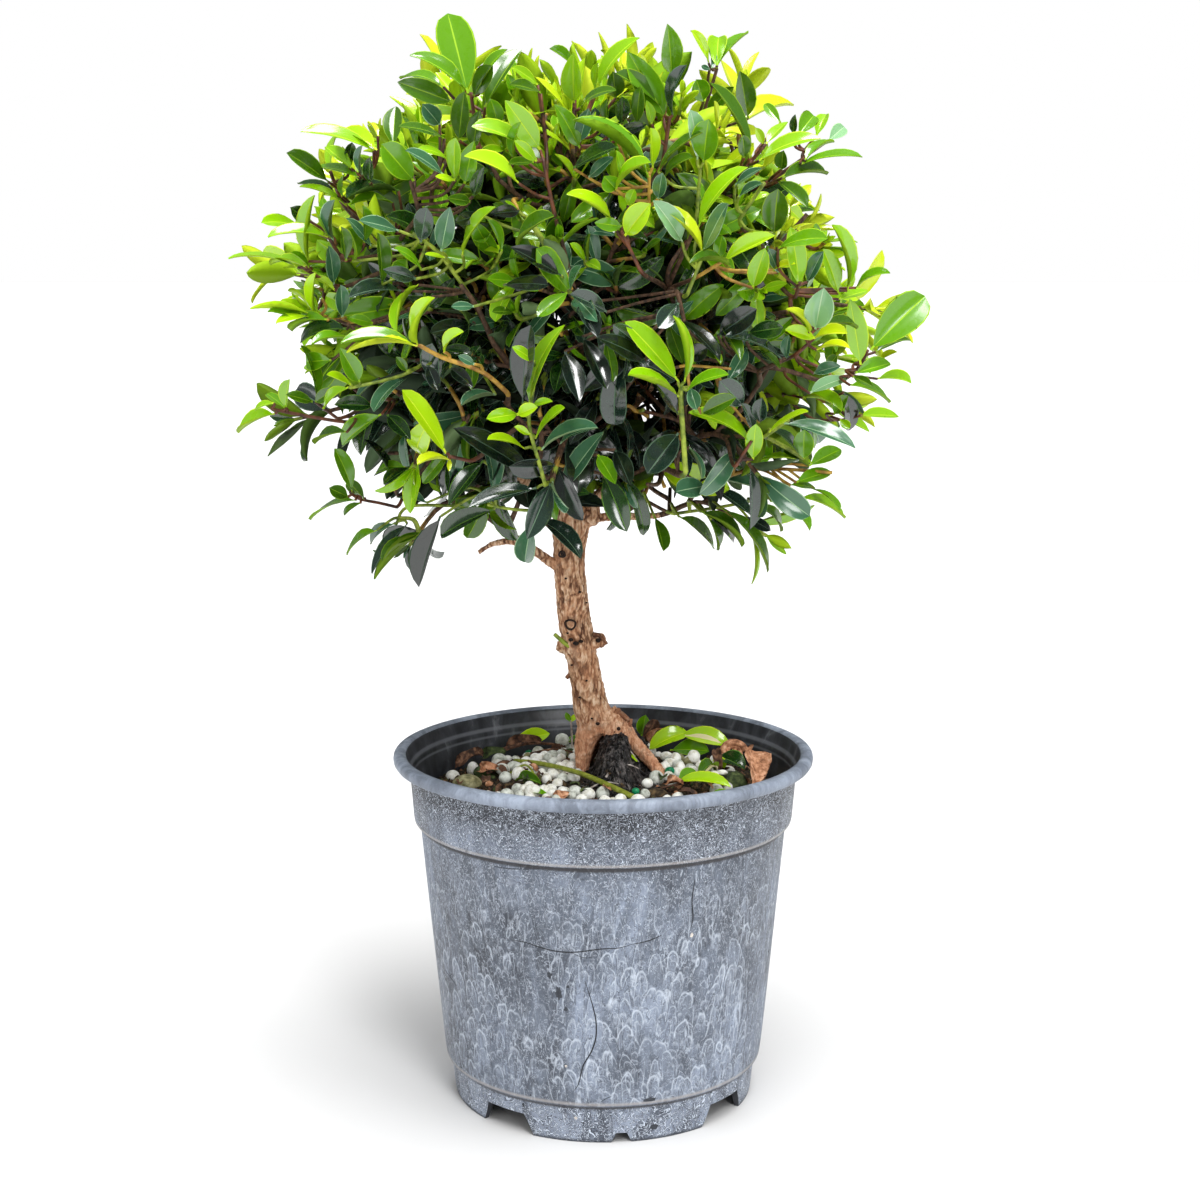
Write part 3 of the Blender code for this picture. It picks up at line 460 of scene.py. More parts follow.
def twig_materials():
    """From old wood to green shoots, in the order of a twig's marks."""
    stops = ((0.35, (46, 31, 22)), (0.6, (98, 70, 50)), (0.75, (134, 104, 78)))
    made = [grained("twig_old", (82, 58, 42), 0.75, (700.0, 4.0, 0.6, 0.4, (1.0, 1.0, 0.5)), stops, (0.0003, 0.8))]
    for name, low, high in (
        ("twig_red", (58, 32, 22), (116, 66, 40)),
        ("twig_amber", (128, 88, 36), (196, 156, 62)),
        ("twig_green", (84, 104, 26), (158, 176, 56)),
    ):
        made.append(grained(name, high, 0.5, (260.0, 3.0), ((0.38, low), (0.62, high))))
    return made


LEAF_COLOURS = (  # upper side, midrib and edge, underside, roughness; from the darkest to the lightest, then two blue
    # The shade row is a near-black green for the leaves deep inside the crown: painted shade.
    ("shade", (11, 16, 7), (20, 28, 13), (18, 24, 12), 0.45),
    ("ink", (12, 24, 16), (58, 78, 60), (44, 58, 40), 0.2),
    ("charcoal", (20, 31, 26), (74, 90, 80), (46, 60, 44), 0.22),
    ("slate", (33, 54, 43), (98, 124, 100), (74, 94, 64), 0.2),
    ("pine", (24, 58, 16), (88, 126, 48), (72, 98, 38), 0.22),
    ("moss", (62, 104, 8), (130, 164, 38), (106, 136, 28), 0.26),
    ("grass", (94, 150, 8), (152, 194, 38), (122, 164, 24), 0.28),
    ("fresh", (133, 186, 8), (184, 214, 48), (150, 186, 28), 0.30),
    ("lime", (168, 213, 10), (204, 228, 52), (172, 206, 32), 0.32),
    ("yellow", (198, 219, 16), (218, 230, 66), (190, 208, 44), 0.34),
    # The mint upper side is a pale green that stands for the white sheen on glossy leaves: painted sheen. The sea upper
    # side is a blue-green that partly stands for that sheen: partly painted sheen.
    ("sea_sheen", (60, 106, 74), (150, 184, 142), (116, 140, 96), 0.2),
    ("mint_sheen", (132, 180, 128), (184, 212, 168), (152, 182, 132), 0.18),
)
BLUE_LEAF = 10  # the row of the first blue one, which some leaves of the rows in TURNED_BLUE become
TURNED_BLUE, BLUE_SHARE = (4, 5), 0.3
DARK_GREEN = 90  # an upper side whose green is below this is an old leaf, with the stronger coat
POT_SCRATCHES = (  # half width, material, points (azimuth, height)
    (0.34, 0, (
        (-5.7, 66.7), (-3.6, 58.0), (-2.4, 51.1), (-2.4, 44.3), (-4.0, 38.2), (-6.7, 32.4), (-8.5, 24.5), (-11.3, 20.5),
    )),
    (0.24, 0, (
        (-28.9, 79.9), (-24.7, 80.0), (-19.7, 78.8), (-14.6, 77.9), (-8.7, 78.0), (-1.0, 79.5),
        (4.4, 79.8), (8.7, 81.1),
    )),
    (0.22, 0, ((8.7, 81.1), (13.6, 82.0), (18.0, 83.8))),
    (0.12, 0, ((-10.0, 77.9), (-6.0, 76.0), (-3.0, 76.4))),
    (0.28, 0, ((28.0, 104.1), (27.4, 96.0), (28.1, 89.2), (27.6, 85.0))),
    (0.16, 0, ((-66.9, 56.5), (-61.5, 55.2), (-57.3, 53.0))),
    (0.13, 0, ((-63.9, 53.0), (-61.5, 55.8), (-59.3, 57.4))),
    (0.18, 0, ((-1.1, 17.8), (2.9, 20.3), (8.3, 20.8))),
    (0.15, 0, ((-34.0, 107.9), (-28.0, 108.2), (-18.6, 109.6))),
    (0.16, 0, ((120.0, 90.0), (124.0, 78.0), (122.0, 66.0), (127.0, 55.0))),
    (0.14, 0, ((-140.0, 52.0), (-150.0, 50.0), (-161.0, 54.0))),
)
POT_CHIPS = (  # azimuth, height, half width, half height, material
    (16.1, 17.5, 3.0, 1.6, 1), (18.6, 5.2, 1.9, 1.2, 1), (-14.2, 61.0, 1.6, 3.4, 1), (-17.0, 68.0, 1.3, 1.6, 1),
    (-12.0, 55.0, 1.0, 1.2, 1), (-11.0, 64.0, 0.8, 0.9, 1), (-12.4, 31.9, 0.9, 0.8, 2), (-9.8, 9.9, 0.8, 0.7, 2),
    (28.1, 82.0, 0.8, 1.2, 2), (-61.1, 18.0, 0.5, 0.6, 0), (-58.0, 16.7, 0.45, 0.4, 0), (-51.4, 18.0, 0.5, 0.5, 0),
    (-25.6, 17.9, 0.6, 0.4, 0), (-30.0, 12.0, 0.6, 0.8, 0), (74.0, 61.0, 1.4, 0.9, 1), (166.0, 94.0, 1.2, 1.5, 1),
    (-118.0, 30.0, 1.6, 1.0, 2),
)


def leaf_materials():
    """For each leaf colour, the materials of the upper side, the midrib with the edge, and the underside."""
    made = []
    for name, top, rib, under, roughness in LEAF_COLOURS:
        three = []
        for part, colour, rough in (("top", top, roughness), ("rib", rib, 0.42), ("under", under, 0.5)):
            s = Shade(f"leaf_{name}_{part}", colour, rough)
            if part == "top":
                s.set("Coat Weight", 1.0)
                s.set("Coat Roughness", 0.15)
                s.set("Coat IOR", 1.8 if top[1] < DARK_GREEN else 1.65)
            s.set("Specular IOR Level", 0.15)
            vein = s.noise(420.0, 3.0, 0.5)
            s.set("Roughness", s.ramp(vein, (0.3, rough - 0.07), (0.7, rough + 0.12)))
            s.bump(vein, 0.00025, 0.35)
            three.append(s.material)
        made.append(three)
    return made


# ---------------------------------------------------------------- the crown
def outness(offset):
    """How far out of the crown a point at that offset from its centre lies: 0 at the centre and 1 on the surface."""
    return float(np.sum(np.abs(np.asarray(offset) / CROWN_RADII) ** CROWN_POWER) ** (1 / CROWN_POWER))


def crown_reach(way):
    """How far the crown's surface lies from its centre that way. It is cut back at the upper right and underneath."""
    upper_right, under = outward(90.0, 30.0), np.array([0.1, 0.0, -1.0])
    cut = 0.13 * smoothstep(0.72, 0.96, float(way.dot(upper_right)))
    cut += 0.24 * smoothstep(0.74, 0.97, float(way.dot(unit(under))))
    return (1.0 - cut) / outness(way)


def heart_of(azimuth, elevation, share):
    """The middle of a mass, which lies that share of the way out from the crown's centre to its surface."""
    way = outward(azimuth, elevation)
    return CROWN_CENTRE + way * share / outness(way)


def trunk_at(height):
    """(middle, radius) of the trunk at that height."""
    for low, high in zip(TRUNK, TRUNK[1:]):
        if low[2] <= height <= high[2]:
            t = (height - low[2]) / (high[2] - low[2])
            here = np.array(low) + (np.array(high) - np.array(low)) * t
            return here[:3], here[3]
    return np.array(TRUNK[-1][:3]), TRUNK[-1][3]


def bough_route(bough, heart):
    """A bough's own route, or a plain one from that height on the trunk to the edge of the mass's core."""
    if isinstance(bough, tuple):
        return [np.array(p, float) for p in bough]
    start = trunk_at(bough)[0]
    end = heart + unit(start - heart) * (CORE_RADIUS + 2.0)
    sag = np.array([0.0, 0.0, -BOUGH_SAG * np.linalg.norm(end - start)])
    return [start, (start + end) / 2 + sag, end]


def limb_lines():
    """For each mass: its heart, tip, bough route with radii, and the stem that runs on from the bough."""
    lines = {}
    for name, middle, tip, bough in MASSES:
        heart, tip = heart_of(*middle), np.array(tip, float)
        route = bough_route(bough, heart)
        line = curve_through([*route, heart, tip - unit(tip - heart) * TIP_LEAF], BOUGH_STEPS)
        end = BOUGH_STEPS * (len(route) - 1)
        lines[name] = (heart, tip, line[: end + 1], SIDE_BOUGHS.get(name, BOUGH_RADII), line[end:])
    return lines


# ---------------------------------------------------------------- leaves
LEAF_ROWS = (0.0, 0.07, 0.15, 0.27, 0.41, 0.56, 0.70, 0.82, 0.92, 1.0)
LEAF_COLUMNS = (-1.0, -0.92, -0.5, -0.042, 0.042, 0.5, 0.92, 1.0)
COARSE_ROWS = (0.0, 0.07, 0.28, 0.55, 0.82, 1.0)
COARSE_COLUMNS = (-1.0, -0.05, 0.05, 1.0)
PETIOLE = 0.07  # the stalk's share of a leaf's length
TOP, RIB, UNDER = range(3)


def leaf_grid(rows, columns):
    """A leaf's rows and columns, and its faces and marks: an upper side and an underside with one keel line."""
    wide = len(columns)
    quads, marks = [], []
    for r in range(len(rows) - 1):
        a, b = r * wide, (r + 1) * wide
        for c in range(wide - 1):
            quads.append((a + c, a + c + 1, b + c + 1, b + c))
            middle = abs(columns[c] + columns[c + 1]) / 2
            pale = middle < 0.05 or (wide > 4 and middle > 0.9) or r == 0
            marks.append(RIB if pale else TOP)
        keel, after = len(rows) * wide + r, len(rows) * wide + r + 1
        quads += [(a, b, after, keel), (keel, after, b + wide - 1, a + wide - 1)]
        marks += [RIB, RIB] if r == 0 else [UNDER, UNDER]
    return np.array(rows), np.array(columns), np.array(quads), np.array(marks)


FINE, COARSE = leaf_grid(LEAF_ROWS, LEAF_COLUMNS), leaf_grid(COARSE_ROWS, COARSE_COLUMNS)


def leaf_points(grid, length, width, fold, bend, twist, wave, blunt, curl):
    """A leaf along +X from its stalk's root, with its upper side towards +Z."""
    rows, columns = grid[:2]
    blade = np.clip((rows - PETIOLE) / (1 - PETIOLE), 0, 1)
    a, b = 0.78, 0.95 - 0.5 * blunt
    shape = blade**a * (1 - blade) ** b
    shape /= (a / (a + b)) ** a * (b / (a + b)) ** b
    half = np.maximum(width / 2 * shape, 0.42)
    half[-1] = 0.12
    y = half[:, None] * columns[None]
    z = np.abs(y) * math.tan(fold) + curl * y**2 / width
    z = z + wave * width * np.sin(rows * 9.0 + width)[:, None] * (columns[None] ** 2) * np.sign(columns[None])
    keel = -np.clip(half * 0.12, 0.3, 0.6)[:, None]
    y, z = np.concatenate([y, 0 * keel], 1), np.concatenate([z, keel], 1)
    turn = (twist * rows)[:, None]
    y, z = y * np.cos(turn) - z * np.sin(turn), y * np.sin(turn) + z * np.cos(turn)
    bend = bend if abs(bend) > 1e-3 else 1e-3
    arc = (bend * rows**1.25)[:, None]
    steps = np.diff(rows, prepend=0.0)[:, None] * length
    x = np.cumsum(steps * np.cos(arc), axis=0) + z * np.sin(arc)
    z = -np.cumsum(steps * np.sin(arc), axis=0) + z * np.cos(arc)
    points, wide = np.stack([x, y, z], -1), len(columns)
    return np.concatenate([points[:, :wide].reshape(-1, 3), points[:, wide]])


def fitted_leaf(root, tip, up, width, *shape):
    """The points of a leaf that runs from its root to its tip however it bends, with its upper side towards up."""
    way, length = unit(tip - root), np.linalg.norm(tip - root)
    side = unit(np.cross(up, way))
    up = np.cross(way, side)
    local = leaf_points(FINE, length, width, *shape)
    end = local[len(LEAF_ROWS) * len(LEAF_COLUMNS) - len(LEAF_COLUMNS) // 2]
    angle, share = math.atan2(end[2], end[0]), length / math.hypot(end[0], end[2])
    x = (local[:, :1] * math.cos(angle) + local[:, 2:] * math.sin(angle)) * share
    z = (local[:, 2:] * math.cos(angle) - local[:, :1] * math.sin(angle)) * share
    return root + x * way + local[:, 1:2] * side + z * up


# ---------------------------------------------------------------- the shoots that stand out
FRONT = np.array([-1.0, -757.0, 321.0])  # a point in front, which the roll of a named leaf is told from
# The named leaves' colours follow how light or dark each shows: partly their age, partly painted light and shade, and
# the sea and mint ones partly painted sheen.
NAMED_SHOOTS = (  # a twig's points, colour and thickness; its leaves: root, tip, width, colour, roll, bend
    ((((-43, -68, 367), (-45, -72, 383)), 1, 0.9), (
        (-46, -72, 383, -53, -66, 410, 13.3, 6, 11, 0.1), (-47, -71, 384, -65, -77, 395, 7.7, 6, 50, 0.8),
        (-51, -73, 380, -69, -80, 386, 7.7, 5, 11, 0.2), (-55, -63, 386, -71, -51, 390, 7.5, 6, 61, 0.9),
        (-44, -74, 382, -37, -84, 391, 6.9, 5, -11, 0.3), (-42, -73, 383, -32, -86, 396, 7.4, 6, -59, 0.8),
        (-40, -77, 378, -28, -67, 398, 9.2, 5, -48, 0.3), (-49, -77, 367, -46, -90, 382, 7.1, 5, -14, 0.1),
        (-44, -78, 364, -41, -89, 376, 5.8, 5, -27, 0.3),
    )),
    ((((-17, -92, 345), (-20, -96, 360)), 1, 0.9), (
        (-21, -93, 363, -32, -103, 378, 8.8, 7, 11, 0.2), (-22, -94, 360, -43, -100, 370, 8.5, 7, 66, 0.8),
        (-22, -81, 385, -30, -89, 390, 4.6, 7, 44, 0.2), (-23, -96, 359, -31, -102, 358, 3.7, 5, 33, 0.1),
        (-21, -83, 382, -31, -92, 384, 5.0, 5, 62, 0.4), (-22, -98, 359, -29, -106, 365, 4.4, 7, 16, 0.2),
        (-28, -99, 352, -45, -109, 360, 7.7, 8, 54, 0.6), (-29, -94, 359, -27, -104, 371, 5.5, 6, -65, 0.6),
        (-35, -88, 371, -37, -96, 379, 5.9, 6, 11, 0.2),
    )),
    ((((-62, -87, 344), (-64, -91, 353)), 0, 1.0), (
        (-63, -92, 353, -72, -105, 364, 9.8, 6, 11, 0.2), (-71, -79, 365, -71, -68, 379, 7.2, 5, -11, 0.1),
        (-53, -95, 355, -64, -107, 362, 6.5, 10, 50, 0.3), (-53, -87, 367, -67, -99, 370, 6.6, 5, 62, 0.5),
        (-55, -81, 372, -60, -89, 378, 6.0, 10, 11, 0.3), (-52, -89, 360, -61, -98, 363, 4.5, 7, 53, 0.8),
        (-49, -94, 353, -48, -106, 366, 6.3, 7, -48, 0.2), (-46, -94, 352, -42, -105, 365, 7.0, 6, -11, 0.2),
        (-43, -95, 348, -39, -103, 357, 4.7, 4, -11, 0.3), (-49, -96, 353, -55, -101, 354, 2.9, 8, 38, 0.2),
        (-44, -98, 346, -51, -105, 347, 3.9, 5, 11, 0.3),
    )),
    ((((-82, -67, 353), (-86, -71, 358)), 1, 0.8), (
        (-86, -71, 358, -96, -62, 366, 5.6, 7, 39, 0.1), (-87, -69, 358, -90, -63, 366, 3.8, 7, 47, 0.1),
        (-83, -74, 355, -100, -61, 359, 7.9, 6, 68, 0.4), (-78, -74, 364, -102, -79, 370, 9.0, 7, 64, 0.5),
        (-77, -75, 364, -92, -64, 369, 6.7, 8, 65, 0.9), (-79, -79, 353, -78, -86, 361, 4.2, 4, -20, 0.3),
        (-82, -75, 356, -81, -83, 365, 4.1, 10, -62, 0.6), (-77, -70, 369, -81, -65, 374, 3.0, 9, 58, 0.6),
    )),
    ((((-92, -55, 348), (-95, -59, 358)), 1, 0.9), (
        (-95, -64, 354, -107, -78, 363, 7.2, 5, 43, 0.2), (-95, -60, 358, -93, -47, 373, 7.2, 7, -62, 0.5),
        (-92, -66, 349, -107, -55, 354, 6.9, 4, 67, 0.4), (-89, -63, 346, -103, -77, 352, 7.3, 7, 63, 0.6),
        (-88, -63, 360, -86, -69, 367, 4.1, 4, -11, 0.3), (-90, -65, 349, -90, -59, 357, 3.7, 6, -57, 0.8),
        (-71, -63, 351, -87, -79, 348, 8.1, 4, 73, 0.6), (-73, -64, 347, -86, -76, 346, 6.3, 6, 64, 0.7),
    )),
    ((((-90, -73, 328), (-93, -77, 334)), 1, 0.9), (
        (-93, -76, 334, -97, -85, 345, 5.3, 7, 49, 0.3), (-102, -68, 327, -98, -78, 349, 9.0, 7, -66, 0.4),
        (-105, -61, 339, -117, -73, 340, 6.2, 7, 57, 0.4), (-94, -74, 335, -114, -79, 335, 7.5, 7, 68, 0.7),
        (-102, -66, 341, -107, -73, 345, 5.4, 4, 11, 0.2), (-92, -77, 334, -90, -88, 347, 6.1, 10, -52, 0.5),
        (-87, -85, 327, -87, -94, 338, 5.1, 5, 40, 0.1), (-81, -81, 333, -80, -92, 345, 5.9, 6, 49, 0.3),
    )),
    ((((-94, -59, 318), (-105, -63, 325)), 1, 0.9), (
        (-107, -59, 325, -130, -66, 328, 8.6, 7, 71, 0.8), (-103, -67, 325, -117, -57, 326, 6.0, 7, 73, 0.8),
        (-102, -67, 325, -107, -73, 330, 3.5, 6, 60, 0.4), (-93, -71, 319, -93, -82, 332, 6.1, 10, 36, 0.2),
        (-93, -68, 317, -105, -57, 322, 6.1, 8, 65, 0.6),
    )),
    ((((-89, -60, 306), (-96, -64, 307), (-101, -68, 308)), 2, 0.8), (
        (-100, -69, 309, -98, -80, 323, 6.6, 8, -60, 0.4), (-100, -68, 308, -111, -57, 317, 6.3, 7, 72, 0.7),
        (-90, -74, 308, -89, -84, 319, 5.2, 10, 24, 0.2), (-102, -68, 309, -121, -77, 311, 7.6, 8, 79, 0.4),
        (-102, -69, 308, -112, -79, 306, 5.3, 8, 65, 0.7), (-103, -65, 307, -115, -77, 310, 6.3, 6, 52, 0.4),
        (-97, -71, 314, -105, -65, 318, 3.9, 5, 52, 0.8), (-95, -74, 307, -109, -64, 303, 6.6, 6, 65, 0.8),
    )),
    ((((-48, -80, 319), (-56, -84, 330), (-64, -88, 336)), 3, 0.9), (
        (-54, -94, 330, -50, -106, 344, 6.9, 10, -11, 0.2), (-61, -91, 333, -58, -100, 344, 7.2, 3, -11, 0.3),
        (-69, -84, 337, -81, -95, 340, 6.1, 10, 42, 0.2), (-53, -93, 328, -59, -98, 329, 2.6, 8, 49, 0.3),
        (-75, -84, 319, -75, -94, 336, 7.1, 5, 47, 0.2), (-63, -89, 321, -73, -97, 324, 5.2, 3, 11, 0.3),
        (-79, -78, 332, -86, -88, 341, 5.1, 10, 43, 0.3), (-86, -75, 327, -86, -84, 338, 5.3, 6, 64, 0.9),
        (-47, -94, 329, -35, -109, 344, 8.8, 7, -73, 0.6), (-34, -93, 330, -38, -101, 340, 5.0, 6, 49, 0.3),
        (-61, -91, 324, -69, -100, 331, 5.0, 6, 52, 0.8),
    )),
    ((((-12, -88, 318), (-15, -92, 325), (-25, -96, 341)), 3, 1.4), (
        (-14, -100, 322, -30, -113, 331, 8.1, 1, 45, 0.1), (-33, -100, 319, -18, -111, 319, 6.5, 1, -44, 0.3),
        (-29, -99, 331, -16, -113, 341, 7.8, 5, -74, 0.6), (-28, -95, 343, -37, -103, 342, 4.7, 1, 11, 0.3),
        (-43, -99, 312, -50, -105, 312, 3.3, 10, 15, 0.3), (-41, -95, 342, -49, -103, 339, 4.7, 1, 11, 0.2),
    )),
    ((((-38, -81, 300), (-43, -85, 312), (-48, -89, 319)), 0, 1.1), (
        (-58, -86, 315, -64, -95, 306, 5.3, 4, 32, 0.1), (-63, -81, 319, -69, -96, 304, 8.0, 7, 72, 0.8),
        (-69, -79, 317, -85, -94, 315, 8.0, 3, 59, 0.5),
    )),
    ((((-9, -79, 363), (-10, -83, 377)), 1, 0.9), (
        (-10, -81, 379, -10, -94, 394, 7.5, 7, -16, 0.2), (-8, -87, 364, -16, -100, 377, 7.2, 6, 23, 0.3),
        (-10, -71, 392, -18, -79, 397, 4.4, 6, 44, 0.3), (-3, -74, 384, -2, -81, 392, 3.8, 7, -49, 0.2),
        (-2, -70, 385, 12, -75, 401, 7.9, 7, -53, 0.8), (4, -77, 381, 3, -84, 389, 6.4, 5, 11, 0.2),
        (-8, -84, 377, 4, -95, 382, 6.1, 5, -59, 0.9), (6, -85, 372, 6, -93, 380, 5.2, 4, 11, 0.2),
        (-8, -88, 366, -5, -97, 376, 5.5, 10, -11, 0.2), (1, -90, 372, 1, -97, 379, 3.6, 5, -36, 0.2),
        (11, -86, 372, 12, -96, 383, 5.3, 5, -28, 0.2),
    )),
    ((((20, -80, 360), (22, -84, 374)), 1, 0.9), (
        (21, -81, 374, 8, -87, 395, 9.6, 6, 11, 0.1), (23, -72, 389, 21, -86, 404, 8.1, 6, 11, 0.3),
        (20, -81, 377, 4, -89, 388, 7.6, 5, 52, 0.4), (23, -83, 375, 27, -94, 390, 7.0, 3, -60, 0.8),
        (16, -85, 372, 14, -91, 379, 3.6, 7, 25, 0.2),
    )),
    ((((37, -21, 382), (41, -25, 396)), 0, 0.9), (
        (41, -26, 396, 42, -16, 408, 7.3, 7, -11, 0.3), (38, -25, 398, 31, -36, 408, 5.7, 8, 54, 0.5),
        (41, -26, 397, 53, -14, 410, 7.7, 6, -65, 0.4), (39, -26, 396, 37, -19, 405, 4.2, 10, 53, 0.9),
        (38, -32, 395, 35, -34, 396, 1.9, 10, 11, 0.3), (36, -30, 384, 33, -37, 391, 7.3, 6, 11, 0.3),
        (52, -31, 378, 48, -45, 393, 8.1, 5, 11, 0.2), (37, -31, 379, 46, -42, 388, 6.0, 5, -33, 0.2),
    )),
    ((((31, -87, 340), (32, -91, 357)), 3, 0.9), (
        (33, -92, 359, 34, -103, 372, 9.3, 6, -11, 0.3), (31, -90, 360, 28, -103, 375, 7.1, 11, 49, 0.3),
        (18, -93, 356, 32, -102, 368, 7.4, 5, -69, 0.6),
    )),
    ((((15, -91, 345), (15, -95, 355)), 2, 0.8), (
        (15, -95, 354, -10, -102, 372, 10.5, 6, 66, 0.8), (16, -96, 357, 15, -107, 369, 5.9, 8, 48, 0.1),
        (4, -99, 350, 15, -111, 358, 6.2, 7, -65, 0.8), (6, -98, 353, 4, -106, 362, 4.2, 7, 49, 0.2),
        (18, -97, 347, 19, -104, 355, 4.8, 10, -11, 0.3), (-10, -93, 357, 4, -106, 363, 7.1, 4, -48, 0.3),
        (-5, -94, 354, 3, -103, 360, 4.8, 10, -29, 0.3), (4, -87, 368, 14, -95, 371, 4.6, 1, -33, 0.1),
        (4, -98, 350, 0, -102, 354, 6.2, 6, 11, 0.2), (20, -94, 354, 29, -104, 360, 5.4, 5, -55, 0.7),
    )),
    ((((12, -95, 324), (6, -99, 336)), 1, 0.9), (
        (7, -100, 335, 15, -110, 345, 8.1, 8, -11, 0.2), (8, -95, 345, 10, -99, 350, 3.9, 7, -11, 0.2),
        (3, -96, 339, -12, -110, 348, 8.1, 8, 67, 0.6), (6, -97, 338, -3, -104, 339, 4.7, 6, 11, 0.3),
    )),
    ((((28, -92, 316), (33, -96, 329)), 3, 0.9), (
        (26, -95, 333, 16, -109, 346, 7.9, 11, 29, 0.3), (33, -96, 329, 16, -101, 344, 8.3, 9, 65, 0.9),
        (31, -96, 337, 47, -101, 357, 9.3, 7, -57, 0.8), (33, -96, 330, 40, -110, 345, 7.8, 10, -33, 0.2),
    )),
    ((((32, -89, 322), (40, -93, 327)), 2, 0.8), (
        (40, -94, 327, 56, -103, 335, 7.2, 8, -42, 0.1), (38, -92, 327, 39, -98, 335, 4.7, 6, -11, 0.3),
        (42, -94, 325, 28, -105, 326, 6.7, 5, 70, 0.8), (50, -90, 318, 53, -101, 331, 6.7, 7, -11, 0.3),
        (57, -85, 324, 64, -91, 326, 3.8, 9, -58, 0.4), (59, -83, 323, 55, -90, 331, 4.2, 10, 34, 0.2),
    )),
    ((((48, -73, 358), (54, -77, 365)), 1, 0.9), (
        (52, -84, 360, 72, -89, 367, 7.8, 7, -53, 0.8), (54, -76, 366, 51, -81, 371, 3.1, 8, 17, 0.2),
        (55, -76, 366, 63, -67, 374, 5.2, 7, -40, 0.3), (61, -62, 374, 56, -55, 381, 3.8, 6, 11, 0.3),
        (49, -82, 361, 35, -88, 385, 10.2, 5, 74, 0.6), (47, -84, 361, 46, -90, 368, 4.8, 5, 11, 0.3),
    )),
    ((((57, -55, 354), (69, -59, 362), (72, -63, 365)), 1, 0.9), (
        (68, -67, 360, 88, -73, 362, 7.5, 6, -61, 0.6), (69, -68, 361, 80, -59, 368, 6.0, 6, -66, 0.7),
        (67, -63, 370, 73, -56, 377, 6.6, 6, -11, 0.2), (74, -56, 370, 78, -49, 378, 5.0, 7, -11, 0.3),
        (79, -51, 369, 85, -45, 374, 5.5, 11, -11, 0.1), (65, -66, 370, 65, -72, 376, 2.9, 4, -16, 0.3),
        (61, -69, 355, 78, -57, 357, 7.5, 5, -64, 0.6), (60, -67, 354, 69, -78, 345, 6.3, 5, -38, 0.2),
        (61, -68, 358, 61, -74, 364, 4.9, 5, -11, 0.3),
    )),
    ((((46, -79, 341), (54, -83, 353)), 3, 0.9), (
        (57, -89, 336, 57, -100, 350, 9.1, 5, -11, 0.3), (44, -86, 352, 52, -94, 357, 4.3, 10, -44, 0.3),
        (45, -90, 348, 52, -98, 352, 4.1, 10, -55, 0.4),
    )),
    ((((65, -83, 315), (66, -87, 320)), 1, 0.9), (
        (66, -86, 318, 62, -92, 338, 7.5, 7, 34, 0.2), (58, -93, 331, 73, -105, 334, 7.2, 6, -54, 0.6),
        (69, -83, 320, 73, -93, 330, 5.3, 10, -24, 0.2), (81, -71, 316, 74, -83, 331, 7.4, 7, 36, 0.2),
        (84, -71, 317, 77, -83, 339, 9.1, 7, 64, 0.7), (87, -71, 318, 97, -82, 323, 5.7, 6, -65, 0.8),
        (81, -72, 314, 92, -64, 317, 4.9, 7, -50, 0.1), (72, -83, 304, 73, -96, 318, 9.9, 11, -11, 0.2),
        (70, -84, 303, 61, -93, 311, 5.3, 9, 58, 0.8),
    )),
    ((((85, -44, 284), (91, -48, 289), (94, -52, 296)), 1, 1.0), (
        (91, -57, 291, 86, -63, 314, 8.8, 7, 16, 0.1), (95, -52, 296, 115, -46, 315, 13.7, 6, -11, 0.2),
        (98, -44, 295, 112, -34, 299, 6.5, 5, -55, 0.6), (89, -57, 288, 103, -47, 291, 6.2, 6, -21, 0.2),
        (100, -36, 285, 114, -26, 283, 6.1, 7, -59, 0.5), (100, -37, 292, 106, -42, 295, 3.1, 9, -41, 0.2),
        (88, -60, 287, 94, -66, 284, 3.5, 5, -22, 0.2), (87, -59, 284, 103, -47, 277, 7.9, 6, -76, 0.6),
        (73, -58, 281, 88, -46, 286, 7.2, 11, -46, 0.3),
    )),
    ((((67, -76, 296), (72, -80, 301)), 1, 0.8), (
        (72, -80, 301, 82, -90, 303, 5.2, 9, -53, 0.5), (72, -81, 301, 61, -89, 304, 5.0, 8, 19, 0.3),
        (73, -79, 297, 83, -88, 298, 4.6, 9, -72, 0.7), (70, -84, 305, 61, -92, 311, 4.6, 9, 55, 0.7),
        (76, -77, 306, 88, -68, 304, 5.5, 5, -63, 0.6), (77, -73, 290, 80, -78, 295, 4.4, 5, -11, 0.1),
        (72, -80, 289, 80, -89, 292, 4.6, 10, -32, 0.2),
    )),
    ((((79, -19, 269), (87, -23, 269), (96, -27, 271)), 1, 0.7), (
        (95, -28, 271, 111, -17, 270, 6.8, 7, -50, 0.2), (85, -32, 272, 89, -39, 279, 5.1, 6, -11, 0.3),
        (87, -34, 270, 90, -38, 267, 3.4, 7, -11, 0.2), (88, -34, 280, 92, -21, 265, 7.3, 2, -51, 0.6),
        (73, -35, 278, 86, -47, 274, 6.8, 7, -64, 0.9),
    )),
    ((((56, -74, 267), (64, -78, 273)), 3, 0.8), (
        (62, -80, 272, 86, -86, 264, 9.2, 10, -59, 0.4), (57, -80, 269, 69, -92, 277, 7.0, 8, -66, 0.4),
        (71, -62, 258, 70, -71, 269, 7.4, 6, -11, 0.3), (69, -64, 260, 59, -74, 269, 6.2, 4, 50, 0.4),
    )),
    ((((46, -76, 257), (51, -80, 266)), 1, 0.8), (
        (52, -74, 259, 52, -84, 272, 6.3, 7, -11, 0.2), (51, -79, 265, 29, -85, 276, 9.1, 7, 62, 0.7),
    )),
    ((((28, -88, 256), (26, -92, 281), (26, -96, 285)), 3, 1.1), (
